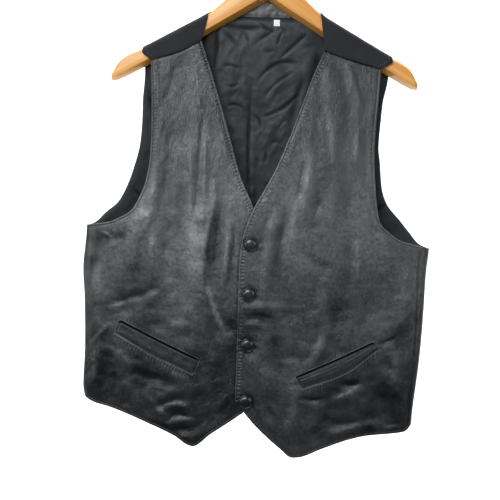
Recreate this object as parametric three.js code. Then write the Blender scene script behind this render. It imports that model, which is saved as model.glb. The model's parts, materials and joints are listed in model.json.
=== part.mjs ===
// A leather waistcoat hanging on a wooden hanger, in millimetres.
// x runs across the front, y from the front to the back, and z up.
// The origin is the inside of the hook's crown, where a rail carries it.
// A drop is a depth below the throat, the underside of the hanger at its middle.

import * as THREE from 'three';

// Driving dimensions
const throatDrop = 96; // from the hook's crown down to the throat
const leatherThick = 1.8;
const backThick = 1.2;
const liningThick = 1.0;
const facingThick = 1.2;
const weltThick = 1.4;
const layerGap = 0.4; // between two pieces that lie on each other
const sideTurn = 1.05; // the side seam lies just behind the outline, 1 being the outline
const edgeLine = -10; // the middle of the lap, where the snaps sit
const lapReach = 15; // how far each front passes the snaps
const lapLift = leatherThick + 0.7;
const snapDrops = [353.8, 424.5, 496.5, 577];
const snapRadius = 10;
const hangerMiddle = 2.5; // where the hanger hangs, measured across the vest
const woodHalf = 7.5; // half the hanger's thickness
const strapRise = 1.9; // the shoulder cloth's top lies this much above the wood
const steepRise = 1.1; // and this much more where the arm steepens towards the neck
const archHeight = 9.2; // from the fold down to where the cloth hangs straight
const wireRadius = 1.75;
const hookRadius = 24;
const seamLevel = 80; // the drop at which shares across the shoulder seam are measured
const hemLevel = 600; // and the one for the hem
const foldLevel = 40; // and the one for the fold over the hanger

// The closed ring that the cloth follows at each drop: its half widths and depths,
// and how square it is, from nearly flat over the hanger to rounded at the waist.
const girth = [
  { drop: -40, left: 254, right: 254, front: 10.2, back: 12, square: 8 },
  { drop: 60, left: 254, right: 254, front: 10.2, back: 12, square: 8 },
  { drop: 100, left: 253, right: 253, front: 11.8, back: 13, square: 7 },
  { drop: 170, left: 251, right: 252, front: 18, back: 16, square: 5 },
  { drop: 250, left: 249, right: 251, front: 26, back: 20, square: 3.4 },
  { drop: 335, left: 248, right: 249.5, front: 31, back: 22, square: 2.8 },
  { drop: 392, left: 251.5, right: 245, front: 32, back: 22, square: 2.6 },
  { drop: 440, left: 248, right: 243.5, front: 32, back: 21.5, square: 2.6 },
  { drop: 512, left: 245.5, right: 239.5, front: 31, back: 21, square: 2.6 },
  { drop: 560, left: 246.3, right: 234.5, front: 30, back: 20, square: 2.6 },
  { drop: 590, left: 241.5, right: 231.5, front: 29, back: 20, square: 2.6 },
  { drop: 660, left: 238, right: 228, front: 28, back: 20, square: 2.6 },
];

// The outlines of the two fronts, from the neck down: the slanted neck edge and the
// edge of the lap, the armhole, the shoulder seam, and the hem with its point.
const frontCuts = {
  left: {
    neck: [
      { x: -89.8, drop: 61.3 }, { x: -74.4, drop: 104.3 }, { x: -58.7, drop: 153.2 },
      { x: -44.9, drop: 198.7 }, { x: -27.4, drop: 257.7 }, { x: -8.1, drop: 300.4 },
      { x: 2, drop: 330 }, { x: edgeLine + lapReach, drop: 360 },
      { x: edgeLine + lapReach, drop: 460 }, { x: edgeLine + lapReach, drop: 577 },
    ],
    armhole: [
      { x: -162.3, drop: 92.5 }, { x: -159.3, drop: 141.9 }, { x: -157.3, drop: 200 },
      { x: -157.9, drop: 233.4 }, { x: -162.4, drop: 266.6 }, { x: -171.3, drop: 291.7 },
      { x: -182.1, drop: 310.1 }, { x: -196.6, drop: 319.6 }, { x: -216.1, drop: 327.6 },
      { x: -240.5, drop: 331 },
    ],
    underarm: 332,
    seam: [{ x: -162.3, drop: 92.5 }, { x: -121, drop: 79 }, { x: -89.8, drop: 61.3 }],
    hem: [
      { x: -241, drop: 580.4 }, { x: -227.7, drop: 586.5 }, { x: -203.8, drop: 592.3 },
      { x: -151.1, drop: 611.9 }, { x: -109.5, drop: 630 }, { x: -93, drop: 641 },
      { x: -84, drop: 643.4 }, { x: -60.1, drop: 626.1 }, { x: -12.9, drop: 592.8 },
      { x: 5, drop: 577 },
    ],
    point: -85,
  },
  right: {
    neck: [
      { x: 88, drop: 71.7 }, { x: 74.1, drop: 103 }, { x: 57.9, drop: 149.5 },
      { x: 41.7, drop: 195.9 }, { x: 22.3, drop: 245.7 }, { x: 6, drop: 277.5 },
      { x: -7.1, drop: 302.1 }, { x: -14.3, drop: 319.8 }, { x: -22, drop: 346.9 },
      { x: edgeLine - lapReach, drop: 375 }, { x: edgeLine - lapReach, drop: 460 },
      { x: edgeLine - lapReach, drop: 577 },
    ],
    armhole: [
      { x: 170.2, drop: 95.8 }, { x: 167.6, drop: 137.1 }, { x: 164.7, drop: 174.2 },
      { x: 162.8, drop: 211.2 }, { x: 163.5, drop: 238.8 }, { x: 168.5, drop: 293.6 },
      { x: 173.8, drop: 317.2 }, { x: 186, drop: 329.6 }, { x: 204.5, drop: 341.7 },
      { x: 224.7, drop: 346.5 }, { x: 242, drop: 350 },
    ],
    underarm: 351,
    seam: [{ x: 88, drop: 71.7 }, { x: 117.4, drop: 81.4 }, { x: 170.2, drop: 95.8 }],
    hem: [
      { x: -25, drop: 577 }, { x: -14.2, drop: 589.9 }, { x: 3.4, drop: 610 },
      { x: 41.2, drop: 643 }, { x: 58.7, drop: 655.2 }, { x: 68.4, drop: 654.4 },
      { x: 102.2, drop: 641.1 }, { x: 138.5, drop: 627.7 }, { x: 164, drop: 621.5 },
      { x: 200.7, drop: 617.9 }, { x: 220, drop: 615.5 }, { x: 231, drop: 606 },
    ],
    point: 62,
  },
};

// The back, from the fold over the hanger down: both armholes, the ends of the two
// shoulder straps at the fold, the arched neckline and the hem.
const backCut = {
  left: [
    { x: -175.1, drop: 71.1 }, { x: -172.5, drop: 98.8 }, { x: -174.6, drop: 138.9 },
    { x: -174.5, drop: 172.4 }, { x: -176.2, drop: 206 }, { x: -186.6, drop: 251.6 },
    { x: -194.3, drop: 273.7 }, { x: -206.2, drop: 296.8 }, { x: -221.9, drop: 311 },
    { x: -238.5, drop: 328 },
  ],
  right: [
    { x: 186.2, drop: 76 }, { x: 183.1, drop: 101.7 }, { x: 176.8, drop: 133.5 },
    { x: 174.4, drop: 170.7 }, { x: 172.9, drop: 204.1 }, { x: 175.6, drop: 226.4 },
    { x: 179.6, drop: 263.7 }, { x: 187.9, drop: 287.7 }, { x: 209.2, drop: 313.2 },
    { x: 221, drop: 327.8 }, { x: 236, drop: 345 },
  ],
  strapNeck: { left: -82.5, right: 81.4 },
  neckRise: -10, // drop of the neckline's middle
  neckSpan: 82,
  hem: [
    { x: -244, drop: 580 }, { x: -150, drop: 584 }, { x: 0, drop: 588 },
    { x: 150, drop: 597 }, { x: 233, drop: 605 },
  ],
};

// The largest folds: each runs from one spot to another, rises out of the cloth, or sinks
// where rise is negative, and fades out at the distance of its reach.
const folds = {
  left: [
    { x1: -92, drop1: 190, x2: -78, drop2: 405, rise: 3.6, reach: 17 },
    { x1: -58, drop1: 295, x2: -62, drop2: 412, rise: -3.2, reach: 13 },
    { x1: -66, drop1: 412, x2: -27, drop2: 496, rise: 2.8, reach: 9 },
    { x1: -128, drop1: 92, x2: -141, drop2: 236, rise: 2.6, reach: 21 },
    { x1: -196, drop1: 345, x2: -187, drop2: 436, rise: 3.2, reach: 16 },
    { x1: -234, drop1: 338, x2: -182, drop2: 360, rise: 2.2, reach: 10 },
    { x1: -240, drop1: 441, x2: -108, drop2: 408, rise: -2.6, reach: 17 },
    { x1: -150, drop1: 578, x2: -84, drop2: 622, rise: 3, reach: 13 },
    { x1: -184, drop1: 553, x2: -112, drop2: 566, rise: 2.4, reach: 11 },
    { x1: -228, drop1: 512, x2: -216, drop2: 584, rise: -2.4, reach: 13 },
  ],
  right: [
    { x1: 50, drop1: 160, x2: 46, drop2: 296, rise: 2.6, reach: 12 },
    { x1: 60, drop1: 244, x2: 25, drop2: 338, rise: -2.4, reach: 11 },
    { x1: 107, drop1: 82, x2: 99, drop2: 200, rise: 2.6, reach: 17 },
    { x1: 131, drop1: 310, x2: 135, drop2: 440, rise: 2.8, reach: 15 },
    { x1: 14, drop1: 452, x2: 66, drop2: 450, rise: 2.4, reach: 11 },
    { x1: 56, drop1: 356, x2: 110, drop2: 390, rise: -2.4, reach: 14 },
    { x1: 141, drop1: 252, x2: 177, drop2: 332, rise: 2.4, reach: 15 },
    { x1: 72, drop1: 586, x2: 158, drop2: 560, rise: 2.8, reach: 12 },
    { x1: 226, drop1: 366, x2: 218, drop2: 590, rise: -1.8, reach: 9 },
    { x1: 196, drop1: 420, x2: 190, drop2: 470, rise: 2.2, reach: 13 },
  ],
  back: [
    { x1: -118, drop1: 130, x2: -108, drop2: 345, rise: 3.2, reach: 22 },
    { x1: 96, drop1: 150, x2: 82, drop2: 352, rise: 3.4, reach: 20 },
    { x1: -232, drop1: 352, x2: -112, drop2: 424, rise: -2.8, reach: 17 },
    { x1: 228, drop1: 368, x2: 104, drop2: 446, rise: -3, reach: 18 },
    { x1: -66, drop1: 452, x2: 78, drop2: 474, rise: -2.6, reach: 16 },
    { x1: -14, drop1: 160, x2: -6, drop2: 330, rise: -2.2, reach: 18 },
    { x1: -168, drop1: 512, x2: -52, drop2: 560, rise: 2.6, reach: 16 },
    { x1: 54, drop1: 524, x2: 176, drop2: 556, rise: 2.8, reach: 17 },
  ],
  lining: [
    { x1: -60, drop1: 38, x2: 40, drop2: 46, rise: 3, reach: 12 },
    { x1: 72, drop1: 60, x2: 14, drop2: 112, rise: 3.6, reach: 12 },
    { x1: 62, drop1: 124, x2: -4, drop2: 172, rise: 3.8, reach: 13 },
    { x1: -20, drop1: 120, x2: -18, drop2: 300, rise: 3, reach: 14 },
    { x1: -110, drop1: 150, x2: -60, drop2: 320, rise: 3.2, reach: 15 },
    { x1: 110, drop1: 190, x2: 60, drop2: 330, rise: 3.2, reach: 15 },
    { x1: -150, drop1: 400, x2: -40, drop2: 430, rise: 3.4, reach: 16 },
    { x1: 40, drop1: 410, x2: 160, drop2: 460, rise: 3.4, reach: 16 },
    { x1: -90, drop1: 520, x2: 90, drop2: 505, rise: 3, reach: 16 },
  ],
};

// The snap caps' section from the seat to the dome's crown; the rim is turned over.
const snapProfile = [
  { radius: 0, height: 0 }, { radius: 9.2, height: 0 }, { radius: 10, height: 0.7 },
  { radius: 9.8, height: 1.5 }, { radius: 8.6, height: 2.1 }, { radius: 7.4, height: 1.9 },
  { radius: 6.4, height: 2.4 }, { radius: 4.2, height: 3.2 }, { radius: 2, height: 3.5 },
  { radius: 0, height: 3.6 },
];

// The hook's shank above the hanger, and its collar
const shank = [
  { x: 0, rise: 2.5 }, { x: 0, rise: 6 }, { x: 1.6, rise: 10.8 }, { x: 6.6, rise: 15 },
];
const collar = [
  { rise: 0, radius: 4.5 }, { rise: 1.6, radius: 4.5 }, { rise: 2.2, radius: 3 },
];

// The pocket welts, by their upper and lower edges
const welts = {
  left: {
    upper: [{ x: -192, drop: 470.5 }, { x: -136, drop: 496.5 }, { x: -81, drop: 521 }],
    lower: [{ x: -197.5, drop: 485 }, { x: -143, drop: 514 }, { x: -87.5, drop: 538 }],
  },
  right: {
    upper: [{ x: 62.5, drop: 541 }, { x: 117, drop: 516 }, { x: 168.5, drop: 490 }],
    lower: [{ x: 70, drop: 554 }, { x: 129.5, drop: 530.5 }, { x: 175, drop: 496 }],
  },
};

// One arm of the hanger by the distance from its middle: its top, and the lower edges of
// its front and back faces.
const arm = [
  { out: 0, top: -34, front: -8.5, back: -1.8 },
  { out: 20, top: -29, front: 4.2, back: 10.6 },
  { out: 40, top: -17.5, front: 16.8, back: 22.8 },
  { out: 55, top: -4.8, front: 26, back: 31.8 },
  { out: 66, top: 5.5, front: 32.8, back: 38.4 },
  { out: 76, top: 14.2, front: 39, back: 44.4 },
  { out: 82, top: 20.2, front: 42.6, back: 48 },
  { out: 184, top: 77.8, front: 98.9, back: 104.9 },
  { out: 193, top: 81.4, front: 104.6, back: 109.9 },
  { out: 201, top: 85.6, front: 109.6, back: 114.3 },
  { out: 208, top: 91, front: 113.6, back: 117.9 },
  { out: 213.5, top: 97, front: 116.4, back: 120.3 },
  { out: 218, top: 105, front: 118.4, back: 121.8 },
  { out: 221.5, top: 114, front: 119.6, back: 122.2 },
];

const label = { x: 17.9, drop: 30.2, width: 9, height: 9.5, thick: 0.5 };

function lerp(a, b, t) {
  return a + (b - a) * t;
}

function ease(t) {
  const s = Math.min(Math.max(t, 0), 1);
  return s * s * (3 - 2 * s);
}

// A cubic through the rows of a table that never swings past a row's own value.
function smooth(rows, at, key) {
  const xs = rows.map((row) => row[at]);
  const ys = rows.map((row) => row[key]);
  const rise = xs.slice(1).map((x, i) => (ys[i + 1] - ys[i]) / (x - xs[i]));
  const slopes = xs.map((_, i) => {
    if (i === 0) return rise[0];
    if (i === xs.length - 1) return rise[i - 1];
    const product = rise[i - 1] * rise[i];
    return product > 0 ? (2 * product) / (rise[i - 1] + rise[i]) : 0;
  });
  return (x) => {
    let i = 0;
    while (i < xs.length - 2 && x > xs[i + 1]) i += 1;
    const width = xs[i + 1] - xs[i];
    const t = Math.min(Math.max((x - xs[i]) / width, 0), 1);
    const early = (1 + 2 * t) * (1 - t) * (1 - t) * ys[i] + t * t * (3 - 2 * t) * ys[i + 1];
    return early + width * t * (1 - t) * ((1 - t) * slopes[i] - t * slopes[i + 1]);
  };
}

// A straight run between the rows of a table
function straight(rows, at, key) {
  return (x) => {
    let i = 0;
    while (i < rows.length - 2 && x > rows[i + 1][at]) i += 1;
    const t = (x - rows[i][at]) / (rows[i + 1][at] - rows[i][at]);
    return lerp(rows[i][key], rows[i + 1][key], t);
  };
}

const ring = {};
for (const key of ['left', 'right', 'front', 'back', 'square']) {
  ring[key] = smooth(girth, 'drop', key);
}
const armTop = straight(arm, 'out', 'top');

// The top of the shoulder cloth where it folds over the hanger
function foldDrop(x) {
  const out = Math.abs(x - hangerMiddle);
  return armTop(out) - strapRise - steepRise * ease((backCut.neckSpan + 6 - out) / 8);
}

function halfWidth(x, drop) {
  return x < 0 ? ring.left(drop) : ring.right(drop);
}

// A turn is the place round the ring: -1 and 1 are the two outlines, 0 the middle of the
// front and 2 the middle of the back.
function turnAt(x, drop, behind) {
  const turn = (Math.asin(x / halfWidth(x, drop)) * 2) / Math.PI;
  return behind ? 2 - turn : turn;
}

function ringPoint(turn, drop) {
  const across = Math.sin((Math.PI * turn) / 2);
  const x = across * halfWidth(across, drop);
  const square = ring.square(drop);
  const depth = (1 - Math.min(Math.abs(across), 1) ** square) ** (1 / square);
  const behind = turn > 1 || turn < -1;
  return { x, y: behind ? depth * ring.back(drop) : -depth * ring.front(drop), depth };
}

function reliefAt(rows, x, drop) {
  let total = 0;
  for (const fold of rows) {
    const run = new THREE.Vector2(fold.x2 - fold.x1, fold.drop2 - fold.drop1);
    const from = new THREE.Vector2(x - fold.x1, drop - fold.drop1);
    const length = run.length();
    const along = from.dot(run) / (length * length);
    if (along <= 0 || along >= 1) continue;
    const aside = from.cross(run) / length / fold.reach;
    total += fold.rise * Math.exp(-aside * aside) * Math.sin(Math.PI * along) ** 0.8;
  }
  return total;
}

function point(x, y, drop) {
  return new THREE.Vector3(x, y, -throatDrop - drop);
}

// A path through spots round the ring; its parameter runs evenly along its length.
function pathThrough(spots) {
  let length = 0;
  const rows = spots.map((spot, i) => {
    const place = ringPoint(spot.turn, spot.drop);
    const last = i > 0 ? ringPoint(spots[i - 1].turn, spots[i - 1].drop) : place;
    const fall = i > 0 ? spot.drop - spots[i - 1].drop : 0;
    length += Math.hypot(place.x - last.x, place.y - last.y, fall);
    return { length, turn: spot.turn, drop: spot.drop };
  });
  const turn = smooth(rows, 'length', 'turn');
  const drop = smooth(rows, 'length', 'drop');
  return (t) => ({ turn: turn(t * length), drop: drop(t * length) });
}

// Two paths joined at a corner, which falls at the share of the parameter that is given
function joined(upper, lower, corner) {
  return (t) => (t < corner ? upper(t / corner) : lower((t - corner) / (1 - corner)));
}

// A wall of even thickness over a grid of outer points. The grid may lack cells; its
// normals point to the side that is worn outwards.
function wallOver(spots, thick, hasCell, flip) {
  const rows = spots.length;
  const columns = spots[0].length;
  const normals = spots.map((row) => row.map(() => new THREE.Vector3()));
  const cell = (i, j) => i >= 0 && j >= 0 && i < rows - 1 && j < columns - 1 && hasCell(i, j);
  for (let i = 0; i < rows - 1; i += 1) {
    for (let j = 0; j < columns - 1; j += 1) {
      if (!cell(i, j)) continue;
      const across = spots[i][j + 1].clone().sub(spots[i + 1][j]);
      const down = spots[i + 1][j + 1].clone().sub(spots[i][j]);
      const face = across.cross(down).normalize().multiplyScalar(flip ? 1 : -1);
      for (const [a, b] of [[i, j], [i + 1, j], [i, j + 1], [i + 1, j + 1]]) {
        normals[a][b].add(face);
      }
    }
  }
  const positions = [];
  const outer = spots.map((row) => row.map(() => -1));
  const inner = spots.map((row) => row.map(() => -1));
  const inside = spots.map((row) => row.map(() => null));
  for (let i = 0; i < rows; i += 1) {
    for (let j = 0; j < columns; j += 1) {
      if (normals[i][j].lengthSq() === 0) continue;
      normals[i][j].normalize();
      inside[i][j] = spots[i][j].clone().addScaledVector(normals[i][j], -thick);
      outer[i][j] = positions.push(spots[i][j]) - 1;
      inner[i][j] = positions.push(inside[i][j]) - 1;
    }
  }
  const faces = [];
  const quad = (a, b, c, d) => {
    if (flip) faces.push(a, c, b, a, d, c);
    else faces.push(a, b, c, a, c, d);
  };
  for (let i = 0; i < rows - 1; i += 1) {
    for (let j = 0; j < columns - 1; j += 1) {
      if (!cell(i, j)) continue;
      quad(outer[i][j], outer[i + 1][j], outer[i + 1][j + 1], outer[i][j + 1]);
      quad(inner[i][j], inner[i][j + 1], inner[i + 1][j + 1], inner[i + 1][j]);
      const rim = (a, b, c, d) => quad(outer[a][b], outer[c][d], inner[c][d], inner[a][b]);
      if (!cell(i - 1, j)) rim(i, j, i, j + 1);
      if (!cell(i + 1, j)) rim(i + 1, j + 1, i + 1, j);
      if (!cell(i, j - 1)) rim(i + 1, j, i, j);
      if (!cell(i, j + 1)) rim(i, j + 1, i + 1, j + 1);
    }
  }
  return { geometry: indexed(positions, faces), spots, normals, inside };
}

function indexed(positions, faces) {
  const geometry = new THREE.BufferGeometry();
  geometry.setFromPoints(positions);
  geometry.setIndex(faces);
  geometry.computeVertexNormals();
  return geometry;
}

// A solid through closed sections of equal count, capped at both ends
function loft(sections, flip) {
  const count = sections[0].length;
  const positions = sections.flat();
  const faces = [];
  const triangle = (a, b, c) => (flip ? faces.push(a, c, b) : faces.push(a, b, c));
  for (let i = 0; i < sections.length - 1; i += 1) {
    for (let j = 0; j < count; j += 1) {
      const next = (j + 1) % count;
      triangle(i * count + j, (i + 1) * count + j, (i + 1) * count + next);
      triangle(i * count + j, (i + 1) * count + next, i * count + next);
    }
  }
  const last = (sections.length - 1) * count;
  for (let j = 1; j < count - 1; j += 1) {
    triangle(0, j, j + 1);
    triangle(last, last + j + 1, last + j);
  }
  return indexed(positions, faces);
}

// Where a line along y through x and drop meets a grid of points, seen from the front
function skinAt(grid, x, drop) {
  const z = -throatDrop - drop;
  const spot = new THREE.Vector3();
  const weights = new THREE.Vector3();
  let nearest = Infinity;
  const flat = (p) => new THREE.Vector3(p.x, 0, p.z);
  for (let i = 0; i < grid.length - 1; i += 1) {
    for (let j = 0; j < grid[0].length - 1; j += 1) {
      const [a, b, c, d] = [grid[i][j], grid[i + 1][j], grid[i + 1][j + 1], grid[i][j + 1]];
      if (!a || !b || !c || !d) continue;
      for (const [p, q, r] of [[a, b, c], [a, c, d]]) {
        spot.set(x, 0, z);
        if (!THREE.Triangle.getBarycoord(spot, flat(p), flat(q), flat(r), weights)) continue;
        if (Math.min(weights.x, weights.y, weights.z) < -1e-6) continue;
        nearest = Math.min(nearest, p.y * weights.x + q.y * weights.y + r.y * weights.z);
      }
    }
  }
  return nearest;
}

// Fronts
const frontCorner = 0.5; // the share of a front's length at the underarm
const neckShare = 0.63; // the share of the neck edge and lap that lies above that row
const frontRows = 30;
const frontColumns = { toPoint: 6, toSide: 11 };
const frontBend = 1.8; // how late a row falls from the neck's drop to the side's
const frontSeamShare = 0.3; // the share of the length that takes up the shoulder seam's slant
const frontHemShare = 0.5; // and the share that takes up the hem's point
const frontFade = 1.4; // creases stay full until the cloth turns towards the side
const lap = { past: 6, fade: 34, from: 232, over: 50 }; // where the upper front is lifted

function frontPattern(side) {
  const cut = frontCuts[side];
  const away = side === 'left' ? -1 : 1;
  const onRing = (spot) => ({ turn: turnAt(spot.x, spot.drop, false), drop: spot.drop });
  const hemEnd = side === 'left' ? cut.hem[0].drop : cut.hem[cut.hem.length - 1].drop;
  const seamTurn = away * sideTurn;
  const armhole = pathThrough([
    ...cut.armhole.map(onRing),
    { turn: seamTurn, drop: cut.underarm },
  ]);
  const seamSide = pathThrough([
    { turn: seamTurn, drop: cut.underarm },
    { turn: seamTurn, drop: hemEnd },
  ]);
  const neck = pathThrough(cut.neck.map(onRing));
  const neckEven = (t) => neck(
    t < frontCorner
      ? (t / frontCorner) * neckShare
      : lerp(neckShare, 1, (t - frontCorner) / (1 - frontCorner)),
  );
  const seamDrop = smooth(cut.seam, 'x', 'drop');
  const hemDrop = smooth(cut.hem, 'x', 'drop');
  return { neckEven, outer: joined(armhole, seamSide, frontCorner), seamDrop, hemDrop };
}

// The place on a front at u from the neck edge to the side and v from the seam to the hem
function frontPlace(pattern, u, v) {
  const bend = u ** frontBend;
  const from = pattern.neckEven(v);
  const to = pattern.outer(v);
  const turn = lerp(from.turn, to.turn, u);
  let drop = lerp(from.drop, to.drop, bend);
  const early = Math.max(1 - v / frontSeamShare, 0) ** 2;
  if (early > 0) {
    const [a, b] = [pattern.neckEven(0), pattern.outer(0)];
    const x = ringPoint(lerp(a.turn, b.turn, u), seamLevel).x;
    drop += early * (pattern.seamDrop(x) - lerp(a.drop, b.drop, bend));
  }
  const late = Math.max(1 - (1 - v) / frontHemShare, 0) ** 2;
  if (late > 0) {
    const [a, b] = [pattern.neckEven(1), pattern.outer(1)];
    const x = ringPoint(lerp(a.turn, b.turn, u), hemLevel).x;
    drop += late * (pattern.hemDrop(x) - lerp(a.drop, b.drop, bend));
  }
  return { turn, drop };
}

function frontPoint(side, place) {
  const { x, y, depth } = ringPoint(place.turn, place.drop);
  const behind = Math.abs(place.turn) > 1;
  const fade = behind ? 0 : Math.min(depth * frontFade, 1);
  const relief = reliefAt(folds[side], x, place.drop) * fade;
  const across = 1 - ease((x - edgeLine - lapReach - lap.past) / lap.fade);
  const down = ease((place.drop - lap.from) / lap.over);
  const lift = side === 'right' ? lapLift * across * down : 0;
  return point(x, y - relief - lift, place.drop);
}

function frontWall(side) {
  const pattern = frontPattern(side);
  const ends = [pattern.neckEven(1).turn, pattern.outer(1).turn];
  const pointTurn = turnAt(frontCuts[side].point, 640, false);
  const pointShare = (pointTurn - ends[0]) / (ends[1] - ends[0]);
  const shares = [];
  for (let j = 0; j < frontColumns.toPoint; j += 1) {
    shares.push((pointShare * j) / frontColumns.toPoint);
  }
  for (let j = 0; j <= frontColumns.toSide; j += 1) {
    shares.push(lerp(pointShare, 1, j / frontColumns.toSide));
  }
  const spots = [];
  for (let i = 0; i <= frontRows; i += 1) {
    const v = i / frontRows;
    spots.push(shares.map((u) => frontPoint(side, frontPlace(pattern, u, v))));
  }
  return wallOver(spots, leatherThick, () => true, side === 'left');
}

// Back with both shoulder straps
const backCorner = 0.62;
const backLength = 598; // from the neckline's middle to the hem
const strapColumns = 6;
const neckColumns = 10;
const archSteps = 3;
const flatSteps = 3;
const bandDrop = 32; // the depth of the leather band inside the neck, at its middle
const bandHalf = 66; // half the band's width
const bandFade = 34; // beyond it the lining's top edge comes back to an even depth
const bandShift = 36; // and this far below the band the rows lie evenly again
const sideGap = 0.5; // between the back and a front where they meet at the side seam
const sidePace = 15; // the ring runs this far for each unit of turn there
const shoulderGap = 0.55; // between a strap and a front
const neckBlend = 0.25; // the share of the length that takes up the neckline's curve
const hemBlend = 0.4; // and the share that takes up the hem's
const backFade = 1.2;
const upperFalls = [0, 1.2, 4.6, archHeight, 18, bandDrop, 50];
const fallSteps = { upper: 12, lower: 8 };

function backPattern() {
  const onRing = (spot) => ({ turn: turnAt(spot.x, spot.drop, true), drop: spot.drop });
  const gap = sideGap / sidePace;
  const build = (rows, underarm, hemEnd, sideSign) => {
    const seamTurn = sideSign > 0 ? sideTurn + gap : 4 - sideTurn - gap;
    const start = { ...rows[0], drop: foldDrop(rows[0].x) };
    const armhole = pathThrough([
      ...[start, ...rows.slice(1)].map(onRing),
      { turn: seamTurn, drop: underarm },
    ]);
    const seamSide = pathThrough([
      { turn: seamTurn, drop: underarm },
      { turn: seamTurn, drop: hemEnd },
    ]);
    return joined(armhole, seamSide, backCorner);
  };
  const hemRows = backCut.hem;
  return {
    left: build(backCut.left, frontCuts.left.underarm, hemRows[0].drop, -1),
    right: build(backCut.right, frontCuts.right.underarm, hemRows[hemRows.length - 1].drop, 1),
    hemDrop: smooth(hemRows, 'x', 'drop'),
  };
}

function neckDrop(x) {
  const out = (x - hangerMiddle) / backCut.neckSpan;
  const fall = foldDrop(hangerMiddle + backCut.neckSpan) - backCut.neckRise;
  return backCut.neckRise + fall * out * out;
}

// How far the rows rise above an even fall, so that the band's lower edge is level
function bandRise(x, fall) {
  const out = Math.abs(x - hangerMiddle);
  const sag = neckDrop(hangerMiddle + Math.min(out, bandHalf)) - backCut.neckRise;
  const aside = 1 - ease((out - bandHalf) / bandFade);
  const near = (fall - archHeight) / (bandDrop - archHeight);
  const far = 1 - (fall - bandDrop) / bandShift;
  return sag * aside * Math.max(Math.min(near, far), 0);
}

// The place on the back at u from the left to the right and a fall below its top edge
function backPlace(pattern, u, evenFall) {
  const topTurn = lerp(pattern.left(0).turn, pattern.right(0).turn, u);
  const { x } = ringPoint(topTurn, foldLevel);
  const fall = evenFall - bandRise(x, evenFall);
  const v = fall / backLength;
  const left = pattern.left(v);
  const right = pattern.right(v);
  const turn = lerp(left.turn, right.turn, u);
  const middle = backCut.neckRise + fall;
  const aside = (2 * u - 1) ** 2;
  let drop = lerp(middle, u < 0.5 ? left.drop : right.drop, aside);
  const strapped = x < backCut.strapNeck.left + 0.01 || x > backCut.strapNeck.right - 0.01;
  const top = (strapped ? foldDrop(x) : neckDrop(x)) + fall;
  drop = lerp(top, drop, ease(v / neckBlend));
  const late = Math.max(1 - (1 - v) / hemBlend, 0) ** 2;
  const hemX = ringPoint(turn, hemLevel).x;
  const hemEnd = u < 0.5 ? pattern.left(1).drop : pattern.right(1).drop;
  const hemBase = lerp(backCut.neckRise + backLength, hemEnd, aside);
  drop += late * (pattern.hemDrop(hemX) - hemBase);
  return { turn, drop };
}

// How far the cloth has come down off the top of the hanger, from 0 at the fold to 1
function archAt(x, drop) {
  const share = Math.min(Math.max((drop - foldDrop(x)) / archHeight, 0), 1);
  return Math.sqrt(1 - (1 - share) * (1 - share));
}

function backPoint(place) {
  const { x, y, depth } = ringPoint(place.turn, place.drop);
  const fade = y > 0 ? Math.min(depth * backFade, 1) : 0;
  const relief = reliefAt(folds.back, x, place.drop) * fade;
  return point(x, y * archAt(x, place.drop) + relief, place.drop);
}

function strapPoint(x, step) {
  const side = x < 0 ? 'left' : 'right';
  const seamRows = frontCuts[side].seam;
  const fold = foldDrop(x);
  const ends = backCut.strapNeck[side];
  const outerEnd = backCut[side][0].x;
  const share = (x - ends) / (outerEnd - ends);
  const neckX = side === 'left' ? seamRows[seamRows.length - 1].x : seamRows[0].x;
  const armX = side === 'left' ? seamRows[0].x : seamRows[seamRows.length - 1].x;
  const seamX = lerp(neckX, armX, share);
  const seamDrop = smooth(seamRows, 'x', 'drop')(seamX) - shoulderGap;
  if (step <= archSteps) {
    const angle = (Math.PI / 2) * (step / archSteps);
    const drop = fold + archHeight * (1 - Math.cos(angle));
    return point(x, -ring.front(drop) * Math.sin(angle), drop);
  }
  const down = (step - archSteps) / flatSteps;
  const drop = lerp(fold + archHeight, seamDrop, down);
  return point(lerp(x, seamX, down), -ring.front(drop), drop);
}

function backFalls() {
  const falls = [...upperFalls];
  const start = falls[falls.length - 1];
  const corner = backCorner * backLength;
  const { upper, lower } = fallSteps;
  for (let i = 1; i <= upper; i += 1) falls.push(lerp(start, corner, i / upper));
  for (let i = 1; i <= lower; i += 1) falls.push(lerp(corner, backLength, i / lower));
  return falls;
}

function backShares(pattern) {
  const from = pattern.left(0).turn;
  const to = pattern.right(0).turn;
  const shareOf = (x) => (turnAt(x, foldLevel, true) - from) / (to - from);
  const inLeft = shareOf(backCut.strapNeck.left);
  const inRight = shareOf(backCut.strapNeck.right);
  const shares = [];
  for (let j = 0; j < strapColumns; j += 1) shares.push((inLeft * j) / strapColumns);
  for (let j = 0; j < neckColumns; j += 1) shares.push(lerp(inLeft, inRight, j / neckColumns));
  for (let j = 0; j <= strapColumns; j += 1) shares.push(lerp(inRight, 1, j / strapColumns));
  return shares;
}

function backWall() {
  const pattern = backPattern();
  const shares = backShares(pattern);
  const falls = backFalls();
  const strapRows = archSteps + flatSteps;
  const spots = [];
  const top = shares.map((u) => backPoint(backPlace(pattern, u, 0)));
  for (let step = strapRows; step > 0; step -= 1) {
    spots.push(top.map((spot) => strapPoint(spot.x, step)));
  }
  for (const fall of falls) {
    spots.push(shares.map((u) => backPoint(backPlace(pattern, u, fall))));
  }
  const overNeck = (j) => j >= strapColumns && j < strapColumns + neckColumns;
  const wall = wallOver(spots, backThick, (i, j) => i >= strapRows || !overNeck(j), true);
  return { ...wall, strapRows, falls };
}

// Pieces inside the back are made from its own points, moved in.
const insideGap = 0.5; // between the back and what lies inside it
const edgeShare = 0.1; // the first and last columns lie this share of a column further in
const bandShare = 0.03; // the lining starts this share of a row below the band
const hemShare = 0.35; // and ends this share of a row above the back's hem

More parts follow.
